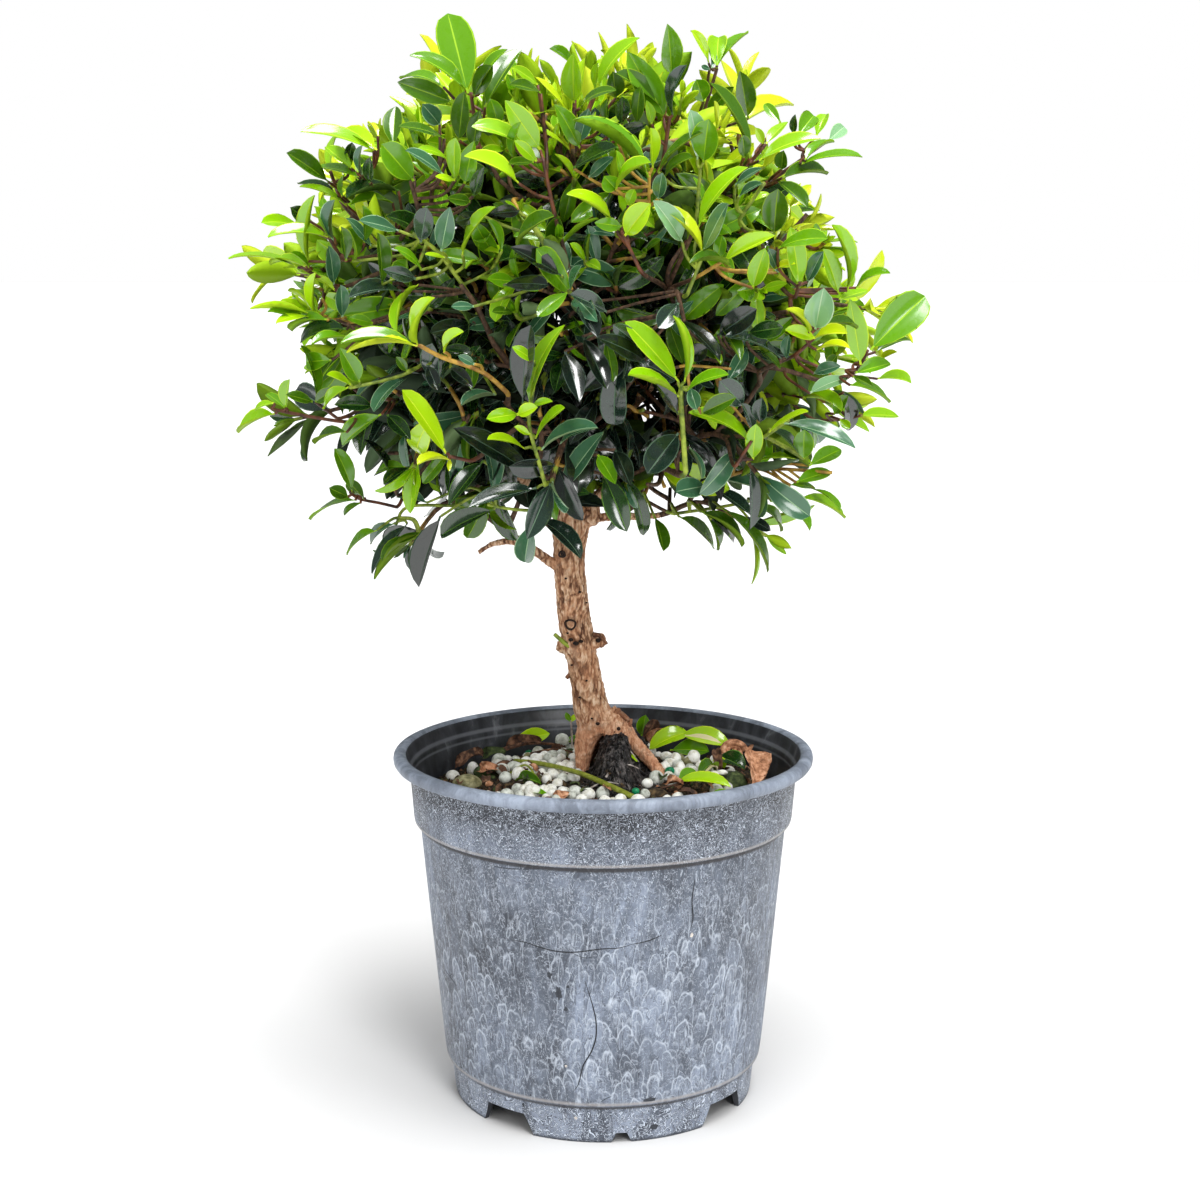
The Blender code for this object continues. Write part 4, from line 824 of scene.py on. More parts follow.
        (25, -94, 287, 7, -100, 307, 10.1, 7, 44, 0.2), (27, -96, 287, 23, -101, 309, 8.4, 7, 68, 0.7),
        (25, -95, 282, 8, -109, 290, 8.5, 7, 69, 0.4), (28, -95, 284, 41, -107, 290, 6.6, 6, -55, 0.6),
        (25, -92, 276, 17, -103, 287, 6.0, 1, 40, 0.3), (29, -93, 285, 31, -100, 278, 4.7, 10, -11, 0.2),
    )),
    ((((29, -85, 292), (43, -89, 291)), 2, 0.7), (
        (48, -81, 278, 39, -91, 287, 8.4, 3, 11, 0.3), (33, -90, 276, 44, -100, 282, 6.3, 5, -11, 0.2),
        (54, -77, 272, 54, -84, 281, 5.6, 3, -11, 0.1), (52, -75, 269, 47, -84, 279, 4.9, 3, 27, 0.3),
    )),
    ((((55, -72, 290), (61, -76, 293)), 0, 1.1), (
        (39, -82, 302, 51, -94, 311, 8.4, 2, -11, 0.3), (49, -84, 303, 60, -94, 305, 6.4, 4, -11, 0.1),
        (61, -78, 294, 41, -90, 302, 8.9, 3, 64, 0.6), (40, -83, 305, 46, -93, 294, 5.8, 5, -47, 0.2),
        (24, -84, 308, 39, -93, 294, 8.2, 1, -64, 0.4), (29, -80, 294, 35, -86, 298, 6.4, 1, -11, 0.3),
        (63, -75, 294, 63, -82, 302, 3.9, 10, -32, 0.2),
    )),
    ((((25, -88, 316), (27, -92, 307)), 0, 1.0), (
        (25, -94, 313, 18, -102, 305, 6.9, 3, 11, 0.2), (1, -95, 310, -11, -106, 316, 6.4, 3, 33, 0.3),
        (-8, -96, 313, -2, -107, 302, 7.0, 2, -11, 0.3), (12, -94, 299, 3, -103, 306, 5.9, 3, 11, 0.2),
        (14, -94, 294, -2, -108, 302, 8.2, 1, 32, 0.3), (-13, -94, 297, -8, -108, 281, 7.9, 2, -23, 0.2),
        (-7, -96, 302, 1, -104, 285, 7.6, 1, -31, 0.2),
    )),
    ((((-22, -70, 254), (-15, -74, 249)), 0, 1.0), (
        (-15, -74, 248, 0, -79, 269, 9.5, 10, -38, 0.2), (-15, -80, 265, -3, -91, 271, 6.4, 10, -56, 0.6),
        (-2, -79, 261, 4, -89, 252, 5.8, 6, -11, 0.3), (0, -78, 254, 8, -84, 235, 9.0, 4, -11, 0.3),
        (-16, -66, 243, 0, -78, 243, 7.1, 2, -36, 0.3), (-16, -73, 247, -5, -82, 248, 5.1, 4, -39, 0.3),
        (4, -82, 263, 9, -93, 252, 6.4, 1, -11, 0.2),
    )),
    ((((28, -63, 253), (36, -67, 248)), 0, 1.0), (
        (26, -74, 268, 15, -85, 255, 10.1, 3, 11, 0.3), (36, -67, 249, 25, -77, 248, 8.1, 10, 11, 0.2),
        (30, -72, 263, 34, -81, 253, 4.9, 10, -61, 0.4),
    )),
    ((((40, -21, 245), (57, -25, 251), (85, -29, 250)), 2, 0.9), (
        (43, -34, 248, 75, -27, 237, 10.5, 10, -61, 0.4), (40, -33, 245, 54, -45, 236, 7.4, 3, -47, 0.2),
        (76, -33, 253, 89, -22, 258, 6.8, 6, -23, 0.3), (56, -37, 255, 76, -44, 255, 7.6, 7, -71, 0.7),
        (69, -35, 246, 79, -27, 244, 4.9, 6, -47, 0.3), (71, -35, 247, 85, -25, 250, 6.4, 6, -31, 0.2),
        (73, -31, 241, 91, -21, 232, 8.1, 7, -69, 0.6), (78, -28, 244, 87, -38, 237, 5.4, 6, -68, 0.6),
    )),
    ((((27, -15, 233), (44, -19, 236), (57, -23, 239), (66, -27, 241)), 3, 0.8), (
        (57, -32, 238, 67, -21, 227, 6.7, 5, -62, 0.9), (62, -35, 240, 75, -49, 231, 7.8, 6, -65, 0.9),
        (44, -32, 237, 62, -25, 212, 10.5, 5, -67, 0.8), (54, -26, 233, 62, -34, 229, 4.3, 2, -11, 0.3),
        (36, -34, 236, 52, -27, 222, 8.2, 5, -62, 0.8), (28, -32, 234, 42, -18, 220, 8.9, 5, -62, 0.5),
        (38, -33, 235, 43, -22, 220, 6.9, 5, -61, 0.6), (40, -33, 233, 49, -23, 223, 6.1, 2, -52, 0.8),
        (19, -35, 234, 22, -46, 223, 5.7, 5, -40, 0.2),
    )),
    ((((-33, -86, 283), (-41, -90, 290), (-54, -94, 295), (-61, -98, 299)), 2, 1.0), (
        (-63, -96, 299, -87, -102, 300, 9.1, 6, 65, 0.5), (-62, -98, 299, -85, -103, 297, 8.5, 9, 73, 0.8),
        (-62, -97, 299, -55, -111, 315, 8.1, 8, -77, 0.9), (-53, -99, 297, -46, -107, 304, 4.7, 8, -56, 0.9),
        (-43, -100, 293, -48, -105, 296, 3.1, 10, 11, 0.2),
    )),
    ((((-20, -84, 251), (-22, -88, 259), (-25, -92, 271), (-25, -96, 279)), 3, 0.9), (
        (-25, -97, 279, -13, -103, 306, 10.5, 7, -57, 0.8), (-29, -93, 276, -39, -102, 275, 5.2, 7, 11, 0.3),
        (-29, -96, 276, -22, -102, 279, 4.5, 8, -11, 0.1), (-25, -92, 269, -30, -97, 272, 2.7, 8, 11, 0.1),
        (-27, -88, 264, -39, -99, 268, 6.3, 8, 60, 0.6), (-23, -102, 294, -30, -109, 299, 4.1, 7, 38, 0.3),
        (-24, -98, 279, -17, -104, 281, 3.2, 7, -36, 0.3), (-23, -93, 268, -13, -104, 279, 6.6, 7, -70, 0.4),
        (-21, -92, 264, -2, -100, 272, 8.1, 10, -62, 0.8), (-24, -82, 254, -51, -90, 271, 10.5, 1, 39, 0.3),
        (-23, -84, 250, -46, -89, 244, 8.9, 3, 47, 0.1), (-27, -99, 280, -24, -105, 306, 9.9, 2, -41, 0.3),
    )),
    ((((-46, -80, 259), (-53, -84, 261)), 1, 0.9), (
        (-54, -85, 262, -68, -91, 284, 9.8, 8, 47, 0.2), (-53, -85, 260, -63, -94, 259, 5.1, 9, 63, 0.7),
        (-53, -82, 260, -53, -85, 256, 1.8, 9, -14, 0.2),
    )),
    ((((-26, -56, 239), (-33, -60, 240), (-41, -64, 242)), 3, 0.8), (
        (-42, -69, 258, -54, -75, 243, 7.1, 4, 33, 0.2), (-39, -62, 240, -59, -50, 229, 9.3, 4, 44, 0.3),
        (-59, -48, 236, -68, -42, 209, 10.4, 1, 42, 0.2), (-26, -52, 234, -29, -40, 218, 8.2, 10, 11, 0.3),
        (-25, -54, 236, -8, -66, 223, 8.6, 3, -51, 0.8), (-64, -49, 241, -76, -39, 242, 5.5, 10, 47, 0.3),
    )),
    ((((-92, -21, 268), (-100, -25, 269), (-115, -29, 272), (-122, -33, 274)), 1, 0.9), (
        (-121, -31, 272, -137, -19, 264, 7.7, 7, 68, 0.5), (-117, -31, 274, -114, -40, 285, 5.3, 7, -38, 0.3),
        (-117, -32, 274, -125, -25, 279, 4.1, 6, 35, 0.3), (-121, -34, 276, -129, -28, 273, 3.9, 7, 59, 0.7),
    )),
    ((((-95, -55, 272), (-102, -59, 278)), 1, 0.8), (
        (-102, -57, 278, -106, -63, 298, 7.8, 6, 55, 0.8), (-103, -59, 278, -111, -67, 281, 4.3, 5, 25, 0.3),
        (-102, -59, 278, -94, -66, 283, 4.9, 5, -11, 0.2), (-78, -64, 274, -94, -50, 262, 8.8, 6, 45, 0.3),
        (-81, -65, 277, -93, -76, 278, 6.0, 4, 20, 0.2), (-90, -67, 268, -103, -57, 263, 6.1, 5, 60, 0.7),
        (-68, -66, 287, -79, -80, 276, 7.6, 10, 55, 0.8), (-76, -66, 274, -67, -75, 266, 5.7, 4, -11, 0.2),
    )),
    ((((-61, -69, 293), (-70, -73, 288), (-87, -77, 284)), 3, 0.8), (
        (-87, -78, 285, -94, -86, 289, 4.2, 8, 47, 0.1), (-88, -76, 284, -98, -67, 276, 6.0, 7, 60, 0.6),
        (-84, -78, 286, -89, -89, 298, 6.7, 6, 11, 0.3), (-67, -84, 290, -70, -89, 295, 3.2, 5, 11, 0.3),
        (-60, -84, 292, -56, -91, 284, 4.8, 2, -11, 0.2), (-52, -85, 291, -44, -93, 285, 4.8, 1, -11, 0.3),
        (-37, -83, 282, -48, -93, 279, 5.4, 10, 55, 0.5),
    )),
    ((((-75, -43, 243), (-76, -47, 246)), 0, 0.8), (
        (-75, -45, 244, -86, -50, 264, 8.4, 1, 73, 0.7), (-71, -52, 254, -83, -42, 251, 5.7, 6, 55, 0.9),
        (-70, -52, 254, -78, -62, 249, 4.9, 4, 42, 0.2),
    )),
    ((((-78, -19, 236), (-84, -23, 238), (-91, -27, 240), (-94, -31, 243)), 1, 0.8), (
        (-93, -32, 243, -98, -41, 260, 7.4, 6, 49, 0.3), (-95, -29, 241, -101, -36, 245, 5.2, 5, 11, 0.2),
        (-89, -28, 240, -96, -21, 246, 5.2, 5, 11, 0.2), (-92, -31, 240, -111, -17, 231, 8.9, 6, 76, 0.7),
        (-90, -32, 239, -97, -27, 234, 3.6, 5, 53, 0.6),
    )),
    ((((-57, -23, 237), (-73, -27, 237), (-77, -31, 231)), 3, 0.8), (
        (-84, -33, 229, -97, -21, 218, 7.5, 6, 76, 0.6), (-78, -30, 231, -88, -20, 222, 6.2, 10, 61, 0.6),
        (-73, -30, 231, -86, -35, 213, 8.3, 3, 58, 0.4), (-69, -30, 227, -85, -36, 211, 8.3, 5, 73, 0.4),
        (-68, -32, 226, -81, -44, 219, 6.9, 5, 76, 0.8), (-68, -32, 228, -76, -40, 225, 3.8, 5, 49, 0.2),
    )),
    ((((-88, -68, 305), (-92, -72, 307)), 0, 0.8), (
        (-88, -77, 304, -106, -64, 299, 8.2, 4, 63, 0.7), (-95, -66, 293, -105, -59, 292, 6.9, 6, 11, 0.3),
        (-87, -76, 300, -99, -87, 299, 6.0, 6, 67, 0.9), (-79, -78, 306, -86, -85, 308, 4.0, 6, 11, 0.3),
        (-44, -80, 306, -58, -93, 303, 7.0, 1, 33, 0.1),
    )),
)


# ---------------------------------------------------------------- the growth of the crown
AGE_TILT = (0.42, 0.72, 0.92, 1.02, 1.1, 1.15)  # how far the leaves of each pair lean out, from the tip back
AGE_SIZE = (None, 0.86, 1.0, 1.0, 0.95, 0.9)  # their size, which for the pair at the tip is drawn
AGE_SHADE = (1.2, 0.5, 0.0, -0.5, -0.9, -1.2)  # how much lighter they are
LEAF_LENGTH = (24.0, 33.0)
LEAF_SLENDERNESS = (0.29, 0.42)
NEAR_NAMED = tuple(math.cos(math.radians(degrees)) for degrees in (9, 4))  # where shoots keep back under a named leaf
# Each row of shoots: how many, how far down the sphere they spread (2 is all of it), their reach from and to, how
# much shorter and darker one behind a named leaf is, the size or its range, whether the leaves are fine, the shade.
# The darkening of shoots behind a named leaf, and the low shade of the two deep rows, are painted shade: leaves made
# darker where the crown shades them.
INNER_SHOOTS = (
    (90, 2.0, 0.38, 0.54, 0.13, 1.8, (0.85,), False, -4.2),
    (150, 2.0, 0.54, 0.70, 0.13, 1.8, (0.92,), True, -2.8),
    (270, 2.0, 0.70, 0.86, 0.13, 1.8, (0.95,), True, 0.0),
)
OUTER_SHOOTS = (150, 1.25, 0.82, 0.93, 0.1, 1.2, (0.5, 0.72), True, 0.5)
STEM_TWIGS = 6
TWIG_SIDES = 6
CLEARING_SHARE = 0.12  # a leaf with a greater share of its points in a gap than this is left out
SHORTEST_SHOOT = 12.0
TURN_COST, OUT_COST = 14.0, 10.0  # millimetres that a full turn, or a start near the crown's surface, counts for
NAMED_TURN_COST, NAMED_LENGTH_COST, NAMED_SHORTEST = 18.0, 1.5, 9.0
LOOSE = 1.4  # a named leaf further from its twig than this gets a twiglet of its own


def in_clearing(points):
    """Whether a leaf would stand in one of the gaps through the crown."""
    for front, back, radius in CLEARINGS:
        front = np.array(front)
        through = unit(np.array(back) - front)
        over = points - front
        off = np.linalg.norm(over - (over @ through)[:, None] * through, axis=1)
        if (off < radius).mean() > CLEARING_SHARE:
            return True
    return False


class Crown:
    """Gathers the leaves by colour and the twigs."""

    def __init__(self):
        self.rng = np.random.default_rng(SEED)
        self.leaves = [Pile() for _ in LEAF_COLOURS]
        self.twigs = Pile()

    def leaf(self, root, way, up, length, width, colour, fine=True, **form):
        """One leaf from its root along a direction, with its upper side towards up."""
        rng = self.rng
        way = unit(way)
        side = unit(np.cross(up, way))
        up = np.cross(way, side)
        settings = {
            "fold": rng.uniform(0.12, 0.62),
            "bend": rng.normal(0.35, 0.38),
            "twist": rng.normal(0.0, 0.28),
            "wave": rng.uniform(0.0, 0.035),
            "blunt": rng.uniform(0.0, 0.9),
            "curl": rng.uniform(-0.35, 0.3),
        }
        settings.update(form)
        grid = FINE if fine else COARSE
        local = leaf_points(grid, length, width, **settings)
        points = root + local[:, :1] * way + local[:, 1:2] * side + local[:, 2:] * up
        if in_clearing(points):
            return
        index = int(np.clip(round(colour), 0, BLUE_LEAF - 1))
        # Some pine and moss leaves take the sea colour, which partly stands for sheen: painted sheen.
        if index in TURNED_BLUE and rng.random() < BLUE_SHARE:
            index = BLUE_LEAF
        self.leaves[index].add(points, *grid[2:])

    def placed(self, root, tip, width, colour, roll, bend):
        """One leaf from its root to its tip. Its upper side is rolled so far round from facing the front."""
        rng = self.rng
        root, tip = np.array(root, float), np.array(tip, float)
        way, length = unit(tip - root), np.linalg.norm(tip - root)
        front = FRONT - root
        front = unit(front - way * front.dot(way))
        roll = math.radians(roll)
        up = front * math.cos(roll) + np.cross(way, front) * math.sin(roll)
        blunt = 0.85 if width > 0.42 * length else rng.uniform(0.1, 0.8)
        fold, curl, wave = rng.uniform(0.2, 0.72), rng.uniform(-0.3, 0.25), rng.uniform(0.0, 0.03)
        shape = (fold, bend, rng.normal(0, 0.18), wave, blunt, curl)
        self.leaves[colour].add(fitted_leaf(root, tip, up, width, *shape), *FINE[2:])

    def shoot(self, route, radii, brightness, size=1.0, pairs=4, fine=True, droop=0.0, young=0.5):
        """A twig with pairs of opposite leaves, each pair a quarter turn from the next, and a small pair at its tip."""
        rng = self.rng
        steps = np.linalg.norm(np.diff(route, axis=0), axis=1)
        reach = np.concatenate([[0.0], np.cumsum(steps)])
        total = reach[-1]
        ahead, across, side = frames_along(route)
        nodes = []
        at, gap = total - 0.6, rng.uniform(4.0, 7.5)
        for pair in range(pairs):
            if at < min(6.0, total * 0.25):
                break
            nodes.append(at)
            at -= gap
            gap = min(gap * rng.uniform(1.25, 1.7), 15.0)
        radius_at = np.interp(reach, reach, radii)
        for node in nodes:
            radius_at = radius_at + 0.28 * np.exp(-(((reach - node) / 0.9) ** 2)) * radii[-1]
        share = reach / total
        first = 0.55 if young > 0.6 else 0.8
        middle, end = 1 + (young > 0.5), 2 + (young > 0.35)
        marks = np.where(share[:-1] < first - 0.35, 0, np.where(share[:-1] < first, middle, end))
        self.twig(route, radius_at, marks)
        spin = rng.uniform(0, np.pi)
        for pair, node in enumerate(nodes):
            k = int(np.clip(np.searchsorted(reach, node) - 1, 0, len(route) - 2))
            t = (node - reach[k]) / max(reach[k + 1] - reach[k], 1e-6)
            point = route[k] + (route[k + 1] - route[k]) * t
            along = ahead[k]
            age = min(pair, len(AGE_TILT) - 1)
            drawn = rng.uniform(0.42, 0.78)
            scale = AGE_SIZE[age] or drawn
            for hand in (1.0, -1.0):
                if pair > 1 and rng.random() < 0.07:
                    continue
                a = spin + rng.normal(0, 0.12)
                out = (across[k] * math.cos(a) + side[k] * math.sin(a)) * hand
                lean = AGE_TILT[age] + rng.normal(0, 0.16)
                way = along * math.cos(lean) + out * math.sin(lean)
                up = along * math.sin(lean) - out * math.cos(lean)
                centre = unit(point - CROWN_CENTRE)
                up = up + np.array([0, 0, 0.75]) + centre * 0.25 + rng.normal(0, 0.16, 3)
                way = way + np.array([0, 0, -droop])
                length = rng.uniform(*LEAF_LENGTH) * scale * size
                width = length * rng.uniform(*LEAF_SLENDERNESS)
                shade = brightness + AGE_SHADE[age] + rng.normal(0, 0.55)
                root = point + out * radii[-1] * 0.6
                bend = rng.normal(0.3, 0.35) + droop * 0.9
                self.leaf(root, way, up, length, width, shade, fine, bend=bend)
            spin += math.pi / 2 + rng.normal(0, 0.1)
        if nodes and rng.random() < 0.7:
            tip, along = route[-1], ahead[-1]
            for hand in (1.0, -1.0):
                out = (across[-1] * math.cos(spin) + side[-1] * math.sin(spin)) * hand
                self.leaf(
                    tip - along * 0.8, along + out * 0.18, along * 0.2 - out, rng.uniform(5, 10) * size, 2.4,
                    brightness + 2.0, False, fold=0.3, bend=0.1,
                )

    def twig(self, route, radii, marks=0):
        tube(self.twigs, route, radii, TWIG_SIDES, marks)


def brightness_at(point, rng):
    """Leaves at the top, the left and most at the right are light, and those low down in front are dark: partly young
    and old growth, partly painted light and shade.
    """
    x, y, z = (point - CROWN_CENTRE) / CROWN_RADII
    side = abs(x) ** 1.5
    value = 4.6 + 3.2 * z + 1.7 * side + 0.8 * x + rng.normal(0, 0.9)
    if z < 0.25 and rng.random() < 0.16:
        value += 2.6
    return value


def grow_stems(crown, lines):
    """The stem of each mass with twigs a golden angle apart, and the places from which its shoots may start."""
    rng, limbs = crown.rng, {}
    for name, (_, _, bough, (_, thin), stem) in lines.items():
        crown.twig(stem, np.linspace(thin, 0.75, len(stem)))
        points = [(p, unit(stem[min(k + 1, len(stem) - 1)] - stem[max(k - 1, 0)])) for k, p in enumerate(stem)]
        half = len(bough) // 2
        points += [(p, unit(bough[-1] - bough[half])) for p in bough[half:]]
        angle = rng.uniform(0, 2 * np.pi)
        ahead, across, side = frames_along(stem)
        for k in range(STEM_TWIGS):
            t = 0.1 + 0.6 * k / (STEM_TWIGS - 1)
            index = int(t * (len(stem) - 1))
            angle += GOLDEN_ANGLE
            out = across[index] * math.cos(angle) + side[index] * math.sin(angle)
            tilt = math.radians(66 * (1.2 - 0.4 * t))
            way = ahead[index] * math.cos(tilt) + out * math.sin(tilt)
            start = stem[index]
            length = 34 * (1.1 - 0.4 * t) * rng.uniform(0.85, 1.1)
            middle = start + way * length * 0.5 + rng.normal(0, 1.0, 3)
            end = start + unit(way + np.array([0, 0, 0.25])) * length
            if outness(end - CROWN_CENTRE) > 0.85:
                continue
            route = curve_through([start, middle, end], 4)
            crown.twig(route, np.linspace(1.15, 0.7, len(route)))
            points += [(p, unit(end - start)) for p in route[2:]]
        limbs[name] = points
    return limbs


def grow_spread(crown, limbs, hearts, named, row):
    """An even spread of places through the crown, each reached by a shoot from the mass that it belongs to."""
    count, span, low, high, cut, darker, sizes, fine, shade = row
    rng = crown.rng
    turn = rng.uniform(0, 2 * np.pi)
    for k in range(count):
        z = 1 - span * (k + 0.5) / count
        a = turn + GOLDEN_ANGLE * k
        way = np.array([math.cos(a) * math.sqrt(1 - z * z), math.sin(a) * math.sqrt(1 - z * z), z])
        way = unit(way + rng.normal(0, 0.05, 3))
        under = smoothstep(*NEAR_NAMED, float((named @ way).max()))
        target = CROWN_CENTRE + way * rng.uniform(low, high) * crown_reach(way) * (1 - cut * under)
        name = min(hearts, key=lambda n: np.linalg.norm(hearts[n] - target))
        size = sizes[0] if len(sizes) == 1 else rng.uniform(*sizes)
        # Leaves behind a named leaf and deep inside are made darker: painted shade.
        grow_shoot(crown, limbs[name], target, way, size, fine, shade - darker * under)


def grow_crown(lines):
    """Twigs and shoots that grow on from each bough by the part's own rule, carried to finer shoots."""
    crown = Crown()
    limbs = grow_stems(crown, lines)
    grow_named(crown, limbs)
    named = np.array([unit(np.array(leaf[:3]) - CROWN_CENTRE) for _, leaves in NAMED_SHOOTS for leaf in leaves])
    hearts = {name: line[0] for name, line in lines.items()}
    for row in INNER_SHOOTS:
        grow_spread(crown, limbs, hearts, named, row)
    for _, tip, _, _, stem in lines.values():
        bright = brightness_at(tip, crown.rng) + 0.8
        crown.shoot(stem[-6:], np.linspace(1.0, 0.7, 6), bright, 0.95, young=0.7)
    grow_spread(crown, limbs, hearts, named, OUTER_SHOOTS)
    return crown


def grow_named(crown, limbs):
    """The shoots that stand out at the front and round the outline, each on a twig from the nearest limb."""
    inner = np.array([p for points in limbs.values() for p, _ in points if outness(p - CROWN_CENTRE) < 0.78])
    for (points, mark, thick), leaves in NAMED_SHOOTS:
        points = np.array(points, float)
        ahead = unit(points[1] - points[0])
        gaps = points[0] - inner
        length = np.linalg.norm(gaps, axis=1)
        cost = NAMED_LENGTH_COST * length + NAMED_TURN_COST * (1.0 - (gaps @ ahead) / length)
        cost = cost + np.where(length < NAMED_SHORTEST, 1e3, 0.0)
        best = int(np.argmin(cost))
        gap, length = gaps[best], length[best]
        leave = unit(gap + 0.3 * length * ahead) * length
        arrive = unit(ahead + 0.8 * unit(gap)) * length * 0.6
        t = np.linspace(0, 1, 11)[:-1, None]
        joint = (2 * t**3 - 3 * t**2 + 1) * inner[best] + (t**3 - 2 * t**2 + t) * leave
        joint = joint + (3 * t**2 - 2 * t**3) * points[0] + (t**3 - t**2) * arrive
        route = np.concatenate([joint, curve_through(points, 5)])
        marks = np.full(len(route) - 1, mark)
        marks[: len(joint) - 2] = 0
        crown.twig(route, np.linspace(thick, thick * 0.72, len(route)), marks)
        for x, y, z, x1, y1, z1, width, colour, roll, bend in leaves:
            root = np.array([x, y, z], float)
            gaps = np.linalg.norm(route - root, axis=1)
            near = int(np.argmin(gaps))
            if gaps[near] > LOOSE:
                back = route[max(near - 2, 0)] if gaps[near] > 5 else route[near]
                half = (back + root) / 2
                half = half - unit(half - CROWN_CENTRE) * 0.3 * gaps[near]
                line = curve_through([back, half, root], 4)
                crown.twig(line, np.linspace(0.62, 0.5, len(line)), mark)
            crown.placed(root, (x1, y1, z1), width, colour, roll, bend)


def grow_shoot(crown, limbs, target, way, size, fine, shade):
    """A shoot from the nearest of those places that already runs much the same way."""
    rng = crown.rng
    best, cost = None, 1e9
    for point, along in limbs:
        gap = target - point
        length = np.linalg.norm(gap)
        if length < SHORTEST_SHOOT:
            continue
        here = length + TURN_COST * (1 - unit(gap).dot(unit(along + way)))
        here += OUT_COST * max(0.0, outness(point - CROWN_CENTRE) - 0.7)
        if here < cost:
            best, cost = (point, along, length), here
    if best is None:
        return
    point, along, length = best
    rise = 0.2 if way[2] > -0.4 else 0.0
    end_way = unit(way + np.array([0, 0, rise]) + rng.normal(0, 0.22, 3))
    middle = point + unit(along * 0.6 + unit(target - point)) * length * 0.45 + rng.normal(0, 0.8, 3)
    late = target - end_way * length * 0.3
    route = curve_through([point, middle, late, target], 5)
    thick = 0.7 + 0.008 * length
    bright = brightness_at(target, rng) + shade
    droop = 0.45 if way[2] < -0.35 else (0.15 if way[2] < -0.1 else 0.0)
    pairs = int(rng.integers(3, 6))
    crown.shoot(route, np.linspace(thick, 0.6, len(route)), bright, size, pairs, fine, droop, rng.random())


# ---------------------------------------------------------------- bark
TRUNK_VOXEL, BOUGH_VOXEL = 0.42, 0.5


def limb(pile, points, radii, sides, steps=6, mark=0):
    """A round limb along a smooth curve. It tapers between two radii, or each point holds its own."""
    route = curve_through(points, steps)
    radii = route[:, 3] if radii is None else np.linspace(*radii, len(route))
    tube(pile, route[:, :3], radii, sides, mark)


def grow_trunk(lines, bark):
    """The trunk with its roots and scars, and the boughs with the stub, as two remeshed skins with fissured bark."""
    pieces, limbs = Pile(), Pile()
    limb(pieces, TRUNK, None, 28)
    for leg in ROOTS:
        limb(pieces, leg, None, 18)
    for height, azimuth, radius, proud in SCARS:
        middle, thick = trunk_at(height)
        end = middle + outward(azimuth, 12.0) * (thick + proud)
        tube(pieces, [middle, middle + (end - middle) * 0.8, end], [radius, radius, radius * 0.72], 16)
    trunk = remeshed(pieces, "trunk_bark", bark, TRUNK_VOXEL, 1.0)
    for _, _, bough, radii, _ in lines.values():
        tube(limbs, bough, np.linspace(*radii, len(bough)), 12)
    limb(limbs, STUB, (1.5, 1.0), 10, 5)
    boughs = remeshed(limbs, "bough_bark", bark, BOUGH_VOXEL, 0.5)
    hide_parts("trunk")
    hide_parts("stub_left", *[f"bough_{name}" for name in lines])


def on_trunk(x, z, lift):
    """The point on the trunk's front at that place across and height."""
    middle, radius = trunk_at(z)
    across = np.clip((x - middle[0]) / radius, -0.98, 0.98)
    out = np.array([across, -math.sqrt(1 - across**2), 0.0])
    return middle + out * (radius + lift)


KNOTS = (  # (x, height, radius, lip, mark): the ring scar and the knot under the fork
    (-12.6, 187.8, 1.75, 0.4, 1),
    (-15.6, 215.6, 1.0, 0.4, 2),
)
PITS = (  # on the front of the trunk: (x, height, size, lift)
    (-12.4, 181.6, 0.9, 0.8), (-10.6, 180.2, 1.1, 0.8), (-8.8, 181.0, 0.8, 0.8), (-13.6, 184.2, 0.5, 0.8),
    (-9.4, 200.6, 0.6, 0.6), (-14.4, 206.0, 0.5, 0.6), (-7.0, 196.0, 0.4, 0.6), (-12.0, 171.0, 0.5, 0.6),
    (-6.6, 165.0, 0.45, 0.6), (-9.0, 158.0, 0.5, 0.6), (-2.2, 147.4, 0.8, 0.4), (-4.4, 149.6, 0.45, 0.5),
)
NUB_PITS = ((-2.0, 2.4, 180.9, 0.95), (6.1, 3.6, 145.1, 0.8), (7.6, 2.4, 142.0, 0.6), (4.4, 3.4, 143.6, 0.6))
SPURS = (  # mark, radii, points
    (3, (1.0, 0.8), ((-13.0, 2.5, 178.4), (-15.4, 1.8, 180.2), (-19.1, 1.0, 183.6))),
    (0, (1.1, 0.45), ((-4.0, 3.4, 183.0), (-1.4, 3.0, 182.6), (1.6, 3.0, 179.4))),
    (0, (1.6, 0.7), ((1.8, 9.0, 150.4), (5.6, 7.4, 151.0), (8.4, 6.2, 149.6), (10.4, 5.4, 148.0))),
    (0, (1.3, 0.6), ((4.0, 7.6, 149.0), (5.6, 6.4, 151.6), (6.6, 6.0, 152.6))),
    (0, (1.2, 0.5), ((9.0, 7.0, 144.6), (10.6, 5.8, 146.4), (11.2, 5.4, 148.6))),
    (0, (1.2, 0.7), ((-11.5, 6.5, 167.0), (-13.6, 6.0, 166.0), (-14.6, 5.8, 165.0))),
    (0, (1.0, 0.6), ((-4.5, 6.0, 168.0), (-2.4, 5.6, 168.6), (-1.4, 5.4, 169.0))),
)


